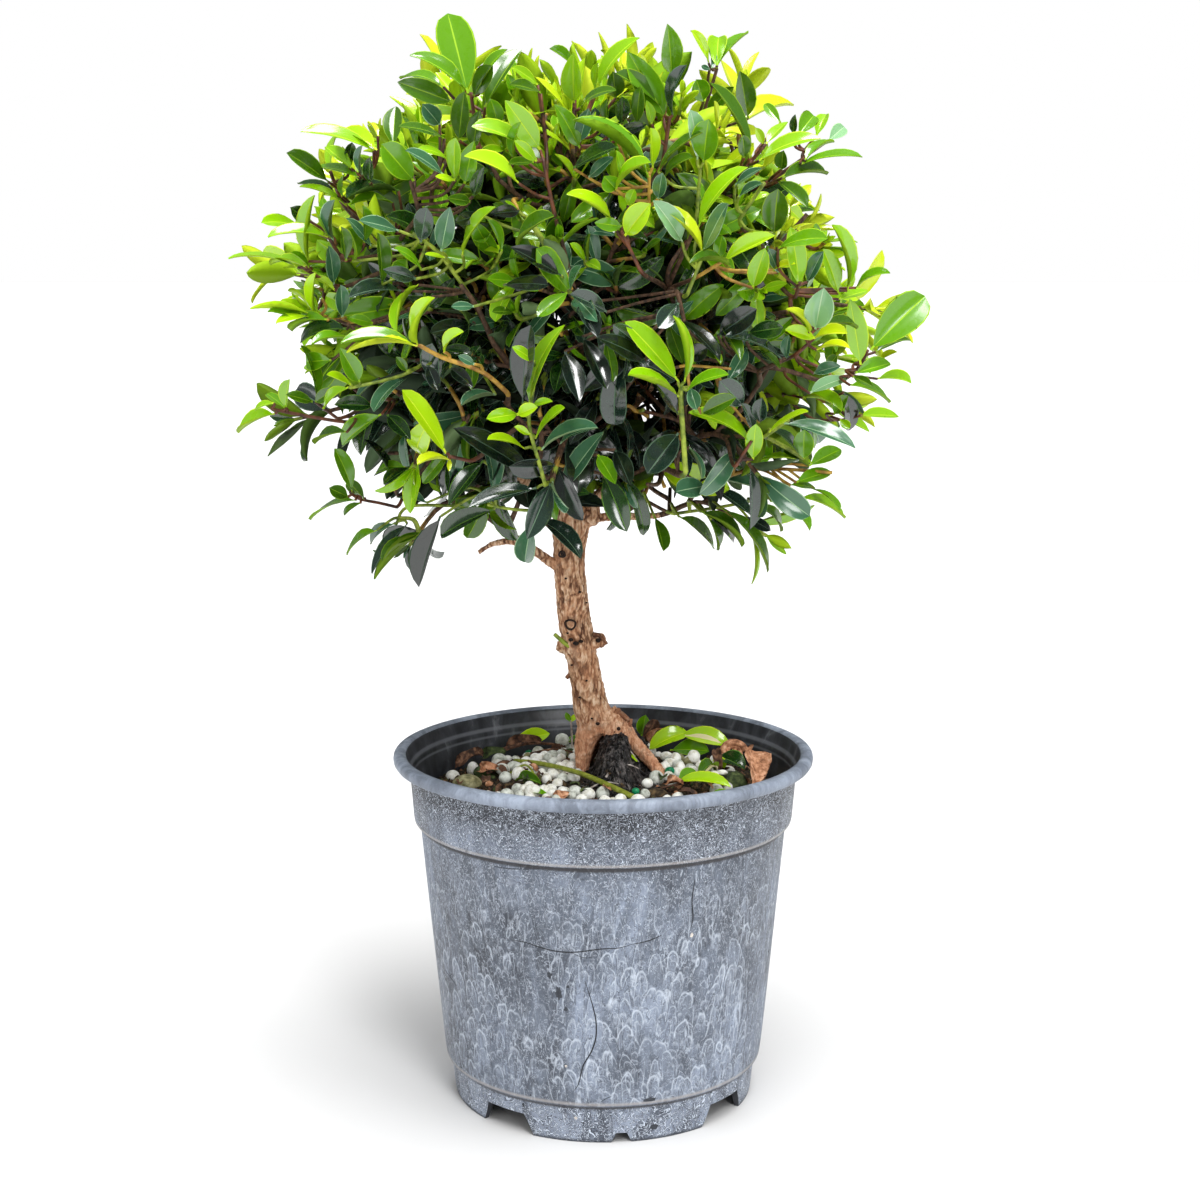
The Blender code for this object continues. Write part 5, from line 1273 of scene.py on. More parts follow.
def dress_trunk(bark, twigs):
    """The ring scar, the knot, the pits, the green stub and the small spurs on the trunk. The pits, the knot under the
    fork and the lip round each knot are near-black for the shade in them: painted shade.
    """
    stops = ((0.35, (160, 112, 80)), (0.65, (214, 172, 136)))
    wood = grained("cut_wood", (196, 150, 114), 0.7, (900.0, 3.0, 0.6), stops, (0.0003, 0.6))
    # The hollow material is near-black, for the shade in pits and grooves: painted shade.
    stops = ((0.35, (14, 9, 7)), (0.65, (46, 30, 22)))
    hollow_shade = grained("hollow_shade", (22, 14, 10), 0.9, (700.0, 3.0, 0.6), stops, (0.0004, 0.8))
    pile = Pile()
    ball, faces = sphere(3)
    for x, z, radius, lip, mark in KNOTS:
        turn = np.linspace(0, 2 * np.pi, 33)
        wobble = radius * (1 + 0.07 * np.sin(3 * turn + x))
        ring = [on_trunk(x + r * math.cos(a), z + 1.08 * r * math.sin(a), 1.0) for a, r in zip(turn, wobble)]
        # The lip round each knot, and the knot under the fork, take the near-black hollow material: painted shade.
        tube(pile, ring, np.full(len(ring), lip), 8, 2)
        pile.add(ball * np.array([radius * 0.92, 1.5, radius]) + on_trunk(x, z, 0.0), faces, mark)
    # The pits are near-black blobs in the hollow material: painted shade.
    for x, z, size, lift in PITS:
        pile.add(ball * size * np.array([1.1, 0.7, 0.8]) + on_trunk(x, z, lift), faces, 2)
    # So are these further pits: painted shade.
    for *middle, size in NUB_PITS:
        pile.add(ball * size + np.array(middle), faces, 2)
    for mark, radii, points in SPURS:
        limb(pile, points, radii, 10, 5, mark)
    pile.mesh("bark_details", [bark, wood, hollow_shade, twigs[3]], "bark")


def ridge(points, scale, seed, wide, octaves=2):
    """One where a noise crosses nought, falling to nothing on both sides of that line."""
    return 1 - smoothstep(0.0, wide, np.abs(noise(points, scale, seed, octaves)))


def remeshed(pile, name, bark, voxel, relief):
    """The skin round a pile's limbs, with fissures, cracks, rings and lumps in the mesh."""
    made = pile.mesh(name, [bark], "bark")
    skin = made.modifiers.new("skin", "REMESH")
    skin.mode = "VOXEL"
    skin.voxel_size = voxel * MM
    apply_modifiers(made)
    data = made.data
    points, normals = np.empty((2, len(data.vertices) * 3))
    data.vertices.foreach_get("co", points)
    data.vertices.foreach_get("normal", normals)
    points, normals = (points.reshape(-1, 3) - POT_AXIS) / MM, normals.reshape(-1, 3)
    above = points[:, 2]
    stretched = points * np.array([1.0, 1.0, 0.26])
    stretched[:, :2] += np.stack([noise(points, 7.0, seed, 2) for seed in (31, 32)], -1) * 1.6
    low = 1 - 0.55 * (1 - smoothstep(142.0, 160.0, above))
    clefts = ridge(stretched, 2.1, 3, 0.2) * low
    cracks = ridge(stretched * np.array([1, 1, 1.3]), 1.1, 4, 0.3) * low
    rings = ridge(points * np.array([0.3, 0.3, 1.0]), 1.7, 6, 0.22, 1)
    rings = rings * (1 - smoothstep(142.0, 156.0, above)) * 0.8
    lumps = noise(points, 8.0, 5, 2)
    fine = noise(points * np.array([1, 1, 0.5]), 0.8, 9, 2)
    ridges = 0.62 - 0.52 * clefts - 0.3 * cracks - 0.3 * rings + 0.3 * fine
    depth = relief * (0.95 * ridges + 0.45 * lumps - 0.42)
    points = points + normals * depth[:, None]
    if name == "trunk_bark":
        points[:, 2] = np.maximum(points[:, 2], GROUND - 1.5)
    data.vertices.foreach_set("co", (points * MM + POT_AXIS).ravel())
    height = data.attributes.new("relief", "FLOAT", "POINT")
    height.data.foreach_set("value", np.clip(ridges + 0.12 * lumps, 0, 1).astype(np.float32))
    data.polygons.foreach_set("use_smooth", np.full(len(data.polygons), True))
    if not data.materials:
        data.materials.append(bark)
    data.update()
    return made


# ---------------------------------------------------------------- the pot
POT_STEPS = 160


def pot_profile():
    """(radius, height) points round the pot's section, from the middle of its underside out, up, over and down."""
    foot = [(0.0, 12.6), (30.0, 12.6), (56.6, 12.6), (57.2, 12.0), (57.6, 0.0), (59.3, 0.0), (59.6, 1.4), (60.9, 13.9)]
    groove = [(61.1, 14.4), (61.7, 14.6), (62.6, 15.3), (63.0, 15.9), (63.2, 17.2)]
    body = [(63.3 + (72.2 - 63.3) * (z - 17.2) / 93.2, z) for z in np.linspace(20.0, 108.6, 20)]
    step = [(72.15, 109.6), (72.2, 110.5), (72.7, 110.95), (73.9, 111.2), (74.4, 111.7), (74.6, 112.8)]
    collar = [(74.7 + 1.3 * t, 114.0 + 16.0 * t) for t in (0.0, 0.25, 0.5, 0.75, 1.0)]
    lip = [(76.4, 131.6), (77.2, 132.9), (78.8, 133.4), (80.6, 133.5), (81.7, 133.9), (82.3, 134.8), (82.5, 136.0)]
    lip += [(82.3, 137.1), (81.7, 137.9), (80.6, 138.4), (79.4, 138.5), (78.3, 138.2), (77.6, 137.5), (77.2, 136.4)]
    inner = [(76.6, 134.6), (75.9, 132.6), (75.2, 131.4), (74.9, 130.0), (73.8, 116.0), (73.3, 113.2), (71.4, 111.6)]
    inner += [(70.7, 110.4), (66.0, 60.0), (61.9, 19.4), (60.9, 15.4), (59.4, 14.4), (30.0, 14.4), (0.0, 14.4)]
    return foot + groove + body + step + collar + lip + inner


def out_of_round(angle, height):
    """How much wider the moulded pot is there than a true circle."""
    if height <= 20.0:
        return 1.0
    return 1.0 + 0.0016 * math.sin(2 * angle + 0.7) + 0.0009 * math.sin(5 * angle + height * 0.05)


def make_pot(materials):
    """The turned shell with its four feet, arches and notches."""
    bm = bmesh.new()
    rings = []
    for radius, height in pot_profile():
        ring = []
        for k in range(POT_STEPS if radius else 1):
            a = 2 * math.pi * k / POT_STEPS
            wide = radius * out_of_round(a, height)
            ring.append(bm.verts.new((math.cos(a) * wide, math.sin(a) * wide, height)))
        rings.append(ring)
    for low, high in zip(rings, rings[1:]):
        for k in range(POT_STEPS):
            n = (k + 1) % POT_STEPS
            if len(low) == 1:
                bm.faces.new((low[0], high[n], high[k]))
            elif len(high) == 1:
                bm.faces.new((low[k], low[n], high[0]))
            else:
                bm.faces.new((low[k], low[n], high[n], high[k]))
    bmesh.ops.recalc_face_normals(bm, faces=bm.faces)
    pot = from_bmesh(bm, "pot_shell")
    cutters = bmesh.new()
    for foot in range(FEET):
        azimuth = FOOT_AZIMUTH + 360.0 / FEET * foot
        between = azimuth + 180.0 / FEET
        add_wedge(cutters, azimuth, 4.2, 2.0, -1.0, 3.9)
        add_wedge(cutters, between, 12.5, 8.5, -1.0, 8.4)
        add_hole(cutters, outward(between) * 46.0)
    add_hole(cutters, np.zeros(3))
    cutter = from_bmesh(cutters, "cutter")
    cut = pot.modifiers.new("cut", "BOOLEAN")
    cut.operation, cut.object, cut.solver = "DIFFERENCE", cutter, "EXACT"
    apply_modifiers(pot)
    bpy.data.objects.remove(cutter, do_unlink=True)
    pot.data.materials.clear()
    for one in materials:
        pot.data.materials.append(one)
    for face in pot.data.polygons:
        middle = face.center
        inward = face.normal.x * middle.x + face.normal.y * middle.y < 0 and middle.z < 137.0
        face.material_index = 1 if inward or math.hypot(middle.x, middle.y) < 56.0 else 0
    pot.data.transform(Matrix.Translation(Vector(POT_AXIS)) @ Matrix.Scale(MM, 4))
    pot.data.shade_smooth()
    pot.data.set_sharp_from_angle(angle=math.radians(38))
    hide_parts("pot")
    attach(pot, "root")


def add_wedge(bm, azimuth, half_low, half_high, low, high):
    """A block cut to a slice of a ring: twice half_low degrees wide at its foot and half_high at its top."""
    corners = []
    for height, half in ((low, half_low), (high, half_high)):
        for radius, turn in ((50.0, -half), (70.0, -half), (70.0, half), (50.0, half)):
            corners.append(bm.verts.new(Vector(outward(azimuth + turn) * radius) + Vector((0, 0, height))))
    for face in ((3, 2, 1, 0), (4, 5, 6, 7), (0, 1, 5, 4), (1, 2, 6, 5), (2, 3, 7, 6), (3, 0, 4, 7)):
        bm.faces.new([corners[k] for k in face])


def add_hole(bm, middle):
    """A cutter for a round drain hole."""
    place = Matrix.Translation((middle[0], middle[1], 13.5))
    bmesh.ops.create_cone(bm, cap_ends=True, segments=32, radius1=4.0, radius2=4.0, depth=6.0, matrix=place)


def pot_materials():
    """Weathered blue-grey plastic: worn patches, pale ringed drops, and a wormy crust on collar and foot; painted
    shadow under the lip, and drops' bodies a little lighter, partly as painted light.
    """
    s = Shade("pot_weathered", (120, 128, 140), 0.6)
    up = s.height()
    collar, foot = s.rise(up, 0.1100, 0.1112), s.rise(up, 0.0160, 0.0148)
    lip, side = s.rise(up, 0.1329, 0.1335), s.rise(up, 0.1335, 0.1329)
    broad = s.noise(15.0, 4.0, 0.6, 0.4)
    streak = s.noise(60.0, 5.0, 0.7, 1.2, (1.0, 1.0, 0.35))
    tones = (0.38, (54, 60, 70)), (0.46, (80, 87, 99)), (0.54, (104, 113, 128)), (0.63, (140, 151, 170))
    base = s.ramp(s.mix(0.5, broad, streak), *tones)
    grain = s.noise(850.0, 4.0, 0.7, 0.4)
    base = s.mix(s.ramp(grain, (0.30, 0.7), (0.43, 0.0)), base, (52, 56, 66))
    base = s.mix(s.ramp(grain, (0.57, 0.0), (0.70, 0.6)), base, (190, 199, 213))
    patches = s.noise(36.0, 3.0, 0.6, 0.6)
    crusted = s.ramp(s.noise(42.0, 3.0, 0.6), (0.34, 0.35), (0.50, 1.0))
    # Painted shadow: the side just under the overhanging lip is darkened, in patches, most towards the lip.
    painted_lip_shadow = s.times(s.rise(up, 0.1165, 0.1265), s.ramp(s.noise(30.0, 3.0, 0.6, 0.5), (0.36, 0.5), (0.50, 1.0)))
    base = s.mix(s.times(s.times(painted_lip_shadow, side), 0.95), base, (40, 42, 47))
    base = s.mix(s.times(foot, 0.6), base, s.ramp(streak, (0.42, (74, 80, 92)), (0.56, (160, 171, 190))))
    body = s.band(up, 0.0150, 0.0180, 0.1095, 0.1112)
    scaly = s.times(body, s.rise(up, 0.112, 0.080))
    wormy = s.times(body, s.rise(up, 0.075, 0.105))
    crust = s.times(collar, s.times(crusted, side))
    curls = s.noise(260.0, 2.0, 0.5, 2.6)
    worm = s.noise(300.0, 3.0, 0.55, 2.0, (1.0, 1.0, 0.6))
    fine = s.noise(430.0, 2.0, 0.5, 2.4)
    drips = s.noise(210.0, 2.0, 0.5, 1.0, (1.0, 1.0, 0.16))
    rim, bead = s.drops(165.0, (1.0, 1.0, 0.5), 0.46, 0.045)
    small_rim = s.drops(310.0, (1.0, 1.0, 0.62), 0.44, 0.08)[0]
    dropped = s.times(scaly, s.ramp(patches, (0.38, 0.25), (0.5, 1.0)))
    # The drops' bodies are made a little lighter than the gaps between them: partly the pale deposit, partly painted
    # light on raised drops.
    base = s.mix(s.times(s.times(bead, dropped), 0.16), base, (170, 182, 200))
    for source, places, share, where in (
        (worm, (0.448, 0.464, 0.476, 0.490), 0.6, dropped),
        (worm, (0.448, 0.464, 0.476, 0.490), 0.7, wormy),
        (drips, (0.474, 0.492, 0.502, 0.520), 0.55, scaly),
        (fine, (0.410, 0.435, 0.462, 0.480), 0.95, crust),
        (fine, (0.535, 0.552, 0.570, 0.590), 0.9, crust),
        (curls, (0.430, 0.446, 0.466, 0.482), 1.0, foot),
        (curls, (0.536, 0.552, 0.572, 0.588), 0.9, foot),
    ):
        base = s.mix(s.times(s.stripe(source, *places, share), where), base, (58, 63, 74))
    for line, share, where in (
        (s.stripe(worm, 0.488, 0.500, 0.510, 0.524), 0.65, wormy),
        (s.stripe(worm, 0.488, 0.500, 0.506, 0.520), 0.4, scaly),
        (s.stripe(drips, 0.520, 0.530, 0.538, 0.550), 0.4, scaly),
        (rim, 0.5, dropped),
        (small_rim, 0.3, dropped),
        (s.stripe(fine, 0.480, 0.494, 0.518, 0.534), 1.0, crust),
        (s.stripe(curls, 0.482, 0.496, 0.520, 0.536), 1.0, foot),
    ):
        base = s.mix(s.times(s.times(line, where), share), base, (208, 217, 230))
    base = s.mix(s.times(lip, 0.8), base, s.ramp(streak, (0.4, (108, 116, 129)), (0.6, (152, 162, 178))))
    seams = s.maths("ADD", s.band(up, 0.1089, 0.1096, 0.1109, 0.1116), s.band(up, 0.0134, 0.0142, 0.0152, 0.0160))
    base = s.mix(s.times(seams, 0.85), base, (46, 43, 44))
    base = s.mix(s.times(s.rise(up, 0.0016, 0.0004), 0.8), base, (40, 43, 50))
    edges = s.maths("ADD", s.band(up, 0.1114, 0.1118, 0.1122, 0.1130), s.band(up, 0.0158, 0.0163, 0.0168, 0.0176))
    base = s.mix(s.times(edges, 0.55), base, (176, 170, 166))
    base = s.mix(s.ramp(s.noise(50.0, 4.0, 0.7, 0.8), (0.61, 0.0), (0.70, 0.55)), base, (54, 59, 69))
    s.set("Base Color", base)
    s.set("Roughness", s.ramp(broad, (0.35, 0.42), (0.65, 0.62)))
    s.bump(s.mix(0.5, worm, s.mix(0.5, grain, bead)), 0.0005, 0.8)
    return [s.material, pot_inside_material()]


def pot_inside_material():
    """Dusty dark plastic with a pale line on each ledge."""
    s = Shade("pot_inside", (56, 59, 65), 0.38)
    up = s.height()
    dust = s.noise(120.0, 5.0, 0.65, 0.5, (1.0, 1.0, 0.5))
    wall = s.ramp(dust, (0.4, (36, 38, 43)), (0.6, (62, 65, 71)), (0.78, (128, 132, 138)))
    ledges = s.maths("ADD", s.band(up, 0.1284, 0.1289, 0.1293, 0.1299), s.band(up, 0.1312, 0.1318, 0.1326, 0.1332))
    s.set("Base Color", s.mix(s.times(ledges, 0.5), wall, (126, 130, 138)))
    s.bump(dust, 0.0003, 0.4)
    return s.material


def on_pot(azimuth, height, lift):
    """A point on the pot's outer side."""
    heights = (0.0, 13.9, 17.2, 110.4, 111.7, 133.4)
    radius = np.interp(height, heights, (59.5, 60.9, 63.2, 72.2, 74.5, 76.3))
    way = outward(azimuth)
    wide = radius * out_of_round(math.atan2(way[1], way[0]), height)
    return way * (wide + lift) + np.array([0.0, 0.0, height])


def mark_pot():
    """The cracks, scratches, scuffs and chips in the pot's side."""
    kinds = []
    for name, tone in (("scratch_dark", (30, 32, 37)), ("chip_grey", (58, 62, 70)), ("chip_pale", (222, 214, 206))):
        stops = ((0.35, tuple(v * 0.75 for v in tone)), (0.65, tone))
        kinds.append(grained(name, tone, 0.7, (900.0, 3.0, 0.6), stops, (0.0002, 0.5)))
    pile = Pile()
    for width, mark, points in POT_SCRATCHES:
        route = curve_through([(*point, 0.0) for point in points], 5)
        radii = width * np.sin(np.linspace(0.12, np.pi - 0.12, len(route))) ** 0.6
        route = [on_pot(a, z, 0.06 - 0.4 * r) for (a, z, _), r in zip(route, radii)]
        tube(pile, route, radii, 6, mark)
    rng = np.random.default_rng(SEED + 9)
    turns, rings = 30, 6
    angle = 2 * np.pi * np.arange(turns) / turns
    circle = np.stack([np.cos(angle), np.sin(angle), 0 * angle], -1)
    for azimuth, height, across, tall, mark in POT_CHIPS:
        reach = 1 + 0.55 * noise(circle * 2, 0.9, int(rng.integers(99)), 3)
        points = []
        for share in (ring / rings for ring in range(1, rings + 1)):
            for a, r in zip(angle, reach):
                turn = math.degrees(across * share * r * math.cos(a) / 68.0)
                points.append(on_pot(azimuth + turn, height + tall * share * r * math.sin(a), 0.12 - 0.2 * share**3))
        points.append(on_pot(azimuth, height, 0.12))
        pile.add(np.array(points), np.concatenate([grid_quads(rings, turns), fan(turns, 0, len(points) - 1)]), mark)
    pile.mesh("pot_marks", kinds, "pot")


# ---------------------------------------------------------------- the potting mix
def soil_height(x, y):
    """The height of the mix's surface, with the heap of fibre under the root arch."""
    points = np.stack([x, y, np.zeros_like(x)], -1)
    r = np.hypot(x, y)
    base = np.interp(r, (0, 38, 53, 64, 74), (125.4, 124.8, 121.8, 119.8, 118.6))
    bump = 1.2 * noise(points, 9.0, 21, 2) + 0.7 * noise(points, 3.2, 22, 2) + 0.35 * noise(points, 1.2, 23, 1)
    heap = np.zeros_like(base)
    for hx, hy, top, wide, deep in HEAPS:
        d = np.hypot((x - hx) / wide, (y - hy) / deep)
        heap = np.maximum(heap, (top - GROUND) * smoothstep(1.0, 0.35, d) * (1 + 0.1 * noise(points, 4.0, 24, 2)))
    return base + bump * (1 + 0.6 * (heap > 0.5)) + heap


def make_mix(material):
    """The surface of the mix with its side and underside, as one closed piece."""
    steps, rings, edge, low = 260, 110, 73.0, 112.0
    radii = np.linspace(0.0, 1.0, rings) ** 0.8 * edge
    angles = 2 * np.pi * np.arange(steps) / steps
    x = (radii[:, None] * np.cos(angles)).ravel()
    y = (radii[:, None] * np.sin(angles)).ravel()
    top = np.stack([x, y, soil_height(x, y)], -1)
    foot = np.stack([edge * np.cos(angles), edge * np.sin(angles), np.full(steps, low)], -1)
    quads = np.concatenate([grid_quads(rings + 1, steps), fan(steps, len(top), len(top) + steps, turned=True)])
    pile = Pile()
    pile.add(np.concatenate([top, foot, [[0.0, 0.0, low]]]), quads, 0)
    made = pile.mesh("mix_surface", [material], "potting_mix")
    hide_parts("potting_mix")


def soil_material():
    """Mould, and near-black fibre high on the heap."""
    s = Shade("potting_mix", (34, 28, 24), 0.95)
    grain = s.noise(600.0, 6.0, 0.7, 0.4)
    mould = s.ramp(grain, (0.35, (20, 16, 11)), (0.55, (58, 47, 33)), (0.7, (108, 88, 62)))
    s.set("Base Color", s.mix(s.rise(s.height(), 0.1275, 0.1305), mould, (11, 10, 10)))
    s.bump(grain, 0.0012, 1.0)
    return s.material


def sphere(subdivisions):
    """Points on a unit ball, with quads, for prills and crumbs."""
    bm = bmesh.new()
    bmesh.ops.create_icosphere(bm, subdivisions=subdivisions, radius=1.0)
    points = np.array([v.co[:] for v in bm.verts])
    faces = np.array([[v.index for v in f.verts] + [f.verts[2].index] for f in bm.faces])
    bm.free()
    return points, faces


PRILL_TRIES, CRUMBS, FIBRES, DRY_BITS = 9000, 2600, 1100, 90
PRILL_ROOM = 0.88  # how near two prills may stand, as a share of both radii
PRILL_BEDS = (  # where the prills lie thick: (x, y, radius across, radius back)
    (-19.0, 18.0, 12.0, 28.0),
    (32.0, 16.0, 13.0, 20.0),
    (-28.0, -30.0, 22.0, 12.0),
    (12.0, -42.0, 26.0, 9.0),
    (-4.0, 54.0, 30.0, 12.0),
    (-36.0, 8.0, 8.0, 9.0),
    (47.0, 20.0, 6.0, 6.0),
)


def rest_on_mix(x, y):
    """The height of the mix at one place."""
    return float(soil_height(np.array([x]), np.array([y]))[0])



(WHITE, GREY, GREEN, CRUMB, DRY, OLIVE, CUT, FIBRE, MOSS, ROOT, DRY_DARK) = range(11)
MIX_COLOURS = (  # in the order of the names above: dark, middle and light tone, roughness
    ("prill_white", (206, 202, 184), (246, 246, 238), (255, 255, 252), 0.45),
    ("prill_grey", (156, 160, 148), (206, 210, 200), (236, 240, 232), 0.5),
    ("prill_green", (8, 96, 62), (14, 132, 86), (30, 160, 104), 0.3),
    ("crumb", (26, 20, 13), (58, 46, 31), (116, 94, 64), 0.95),
    ("dry_bit", (112, 70, 46), (190, 134, 98), (236, 190, 156), 0.8),
    ("prill_olive", (92, 90, 58), (142, 138, 98), (178, 174, 136), 0.6),
    ("cut_twig", (112, 122, 34), (138, 148, 46), (160, 168, 66), 0.45),
    ("root_fibre", (4, 4, 4), (24, 21, 21), (104, 98, 96), 0.4),
    ("moss_clump", (26, 32, 16), (56, 70, 36), (96, 110, 62), 0.85),
    ("root_pale", (110, 98, 90), (170, 158, 150), (214, 206, 200), 0.6),
    ("dry_dark", (38, 24, 18), (84, 56, 40), (140, 102, 76), 0.75),
)
STRANDS = (  # what lies on the mix in one piece: material, radii, points
    (CUT, (0.9, 1.15), (
        (-36.0, 24.0, 127.0), (-25.4, 11.6, 129.0), (-11.0, -7.9, 130.5), (0.0, -23.3, 130.0), (11.5, -37.4, 128.0),
    )),
    (ROOT, (0.5, 0.2), ((1.0, -15.0, 130.0), (4.0, -11.0, 133.2), (7.4, -8.0, 134.0))),
    (ROOT, (0.4, 0.2), ((7.0, -12.0, 132.0), (10.0, -9.0, 133.5), (14.0, -9.0, 132.0))),
    (ROOT, (0.35, 0.15), ((-6.0, -22.0, 127.0), (0.0, -20.0, 129.4), (6.0, -21.0, 129.0))),
    (ROOT, (0.3, 0.15), ((9.0, 2.0, 138.0), (11.0, -2.0, 137.0), (14.0, -6.0, 134.0))),
    (DRY_DARK, (1.1, 0.4), ((-44.0, 44.0, 126.0), (-32.0, 46.0, 129.0), (-18.0, 48.0, 128.0))),
    (DRY_DARK, (0.7, 0.3), ((-30.0, 40.0, 126.0), (-20.0, 36.0, 129.0), (-12.0, 34.0, 128.0))),
    (ROOT, (0.5, 0.35), ((-13.0, 50.0, 126.0), (-13.2, 50.0, 134.0), (-13.6, 50.0, 138.0))),
    (CUT, (0.55, 0.3), ((-38.0, 4.0, 126.0), (-31.0, 1.0, 131.0), (-27.0, -6.0, 128.0), (-31.0, -12.0, 127.0))),
    (DRY_DARK, (0.8, 0.4), ((28.0, -8.0, 127.0), (34.0, -16.0, 129.0), (22.0, -20.0, 127.0))),
)
LUMPS = (  # x, y, z, radii, material
    (51.0, -5.0, 125.5, (6.0, 5.0, 4.4), MOSS), (44.0, 2.0, 125.0, (4.0, 4.0, 3.0), MOSS),
    (-46.0, 14.0, 124.5, (6.5, 5.0, 3.2), MOSS), (-54.0, 2.0, 123.5, (5.5, 6.0, 3.4), OLIVE),
    (-40.0, 22.0, 125.0, (4.0, 4.0, 2.6), DRY_DARK), (20.0, -24.0, 125.5, (5.0, 4.0, 2.6), CRUMB),
    (43.4, -10.6, 130.4, (1.8, 1.3, 1.2), WHITE), (46.6, -10.0, 130.8, (2.0, 1.2, 1.0), WHITE),
    (44.6, -12.4, 128.6, (2.2, 1.5, 1.4), WHITE), (41.2, -9.0, 129.2, (1.7, 1.4, 1.3), WHITE),
    (36.6, 16.0, 130.6, (2.6, 2.4, 2.8), WHITE), (46.0, 18.0, 128.6, (2.8, 2.5, 2.4), WHITE),
    (26.4, 2.0, 128.2, (2.0, 1.8, 1.8), GREEN), (12.3, -28.3, 128.0, (1.5, 1.5, 1.5), GREEN),
    (17.0, -20.0, 129.0, (2.2, 2.0, 2.0), WHITE), (-17.2, 52.0, 129.0, (3.2, 2.8, 2.9), GREY),
)
LIME, GRASS, MOSS_GREEN, CREAM, PINE = range(5)
FALLEN_LEAVES = (  # root, tip, width, bend, fold, tone, roll
    ((36.0, 43.0, 134.6), (19.5, 38.0, 128.4), 9.0, 1.0, 0.5, LIME, 50.0),
    ((32.0, 41.5, 134.0), (53.0, 37.5, 129.8), 8.8, 0.7, 0.5, LIME, 54.0),
    ((34.0, 39.6, 133.8), (49.0, 36.4, 131.2), 3.6, 0.5, 0.3, CREAM, 52.0),
    ((28.0, 42.0, 127.0), (44.0, 36.0, 128.0), 9.0, 0.3, 0.4, GRASS, 30.0),
    ((29.0, -16.0, 129.0), (49.0, -24.0, 128.6), 6.8, 0.6, 0.6, LIME, 40.0),
    ((29.0, -15.0, 128.6), (36.5, -6.0, 130.0), 5.5, 0.5, 0.4, GRASS, 45.0),
    ((37.6, -3.1, 126.0), (44.4, 6.0, 127.0), 4.6, 2.4, 0.7, MOSS_GREEN, 30.0),
    ((38.8, -3.4, 126.0), (45.2, 5.0, 127.6), 1.8, 2.4, 0.4, CREAM, 34.0),
    ((46.0, 19.0, 130.0), (57.0, 11.0, 126.6), 9.5, 0.7, 0.4, PINE, 42.0),
    ((44.6, 17.0, 129.6), (49.0, 12.0, 127.0), 5.0, 0.6, 0.4, LIME, 42.0),
    ((16.4, 64.0, 128.0), (18.2, 62.0, 137.6), 6.0, 0.2, 0.4, GRASS, 80.0),
    ((-38.0, 57.0, 127.0), (-22.6, 60.0, 130.0), 8.0, 0.2, 0.2, LIME, 50.0),
    ((8.6, 1.6, 136.2), (13.4, -3.4, 133.4), 1.6, 0.8, 0.4, LIME, 30.0),
    ((-34.0, -8.0, 127.0), (-24.0, -17.0, 128.0), 4.2, 0.9, 0.9, MOSS_GREEN, 40.0),
    ((-30.0, -26.0, 127.0), (-21.0, -33.0, 127.6), 3.4, 0.5, 0.5, GRASS, 40.0),
    ((-13.6, 50.0, 137.4), (-15.6, 50.0, 141.4), 2.4, 0.3, 0.3, GRASS, 80.0),
    ((-13.4, 50.0, 137.4), (-11.4, 50.0, 140.6), 2.2, 0.3, 0.3, LIME, 80.0),
    ((-20.0, 50.0, 127.0), (8.0, 62.0, 127.0), 8.0, 0.4, 0.5, MOSS_GREEN, 10.0),
    ((40.0, -30.0, 127.0), (50.0, -34.0, 127.0), 4.0, 0.6, 0.5, GRASS, 30.0),
)
DRY_LEAVES = (  # root, tip, width, bend, fold, tone (tan, dark, mossy), roll
    ((-60.0, 20.0, 125.0), (-49.0, 26.0, 129.0), 6.0, 1.4, 0.6, 1, 50.0),
    ((-50.0, 10.0, 126.0), (-41.0, 6.0, 128.0), 4.5, 0.9, 0.8, 0, 50.0),
    ((-50.0, 32.0, 126.0), (-40.0, 30.0, 129.0), 5.0, 1.2, 0.7, 2, 50.0),
    ((-42.0, 48.0, 126.0), (-26.0, 50.0, 129.0), 5.0, 0.9, 0.9, 1, 40.0),
    ((60.0, -10.0, 124.0), (58.5, 2.0, 137.5), 11.0, 0.9, 0.5, 0, 62.0),
    ((58.0, -12.0, 126.0), (63.0, -4.0, 128.0), 5.0, 1.0, 0.6, 0, 50.0),
    ((20.0, 62.0, 127.0), (23.0, 60.0, 136.0), 7.0, 1.4, 0.9, 1, 70.0),
    ((18.0, 60.0, 127.0), (30.0, 57.0, 130.0), 7.0, 0.9, 0.7, 0, 60.0),
    ((24.0, -14.0, 127.0), (31.0, -20.0, 129.0), 4.5, 0.9, 0.6, 0, 50.0),
    ((47.0, 8.0, 126.0), (45.0, 14.0, 134.0), 4.0, 1.8, 0.7, 1, 60.0),
    ((-20.0, -38.0, 126.0), (-13.0, -33.0, 128.0), 4.5, 0.9, 0.6, 0, 50.0),
    ((-8.0, 62.0, 126.0), (8.0, 66.0, 128.0), 8.0, 1.2, 0.6, 1, 20.0),
    ((30.0, -44.0, 126.0), (42.0, -36.0, 127.0), 6.0, 1.0, 0.5, 1, 20.0),
)


def spot_on_mix(rng, reach):
    """A place drawn evenly from a disc of that radius."""
    a, r = rng.uniform(0, 2 * np.pi), reach * math.sqrt(rng.random())
    return r * math.cos(a), r * math.sin(a)


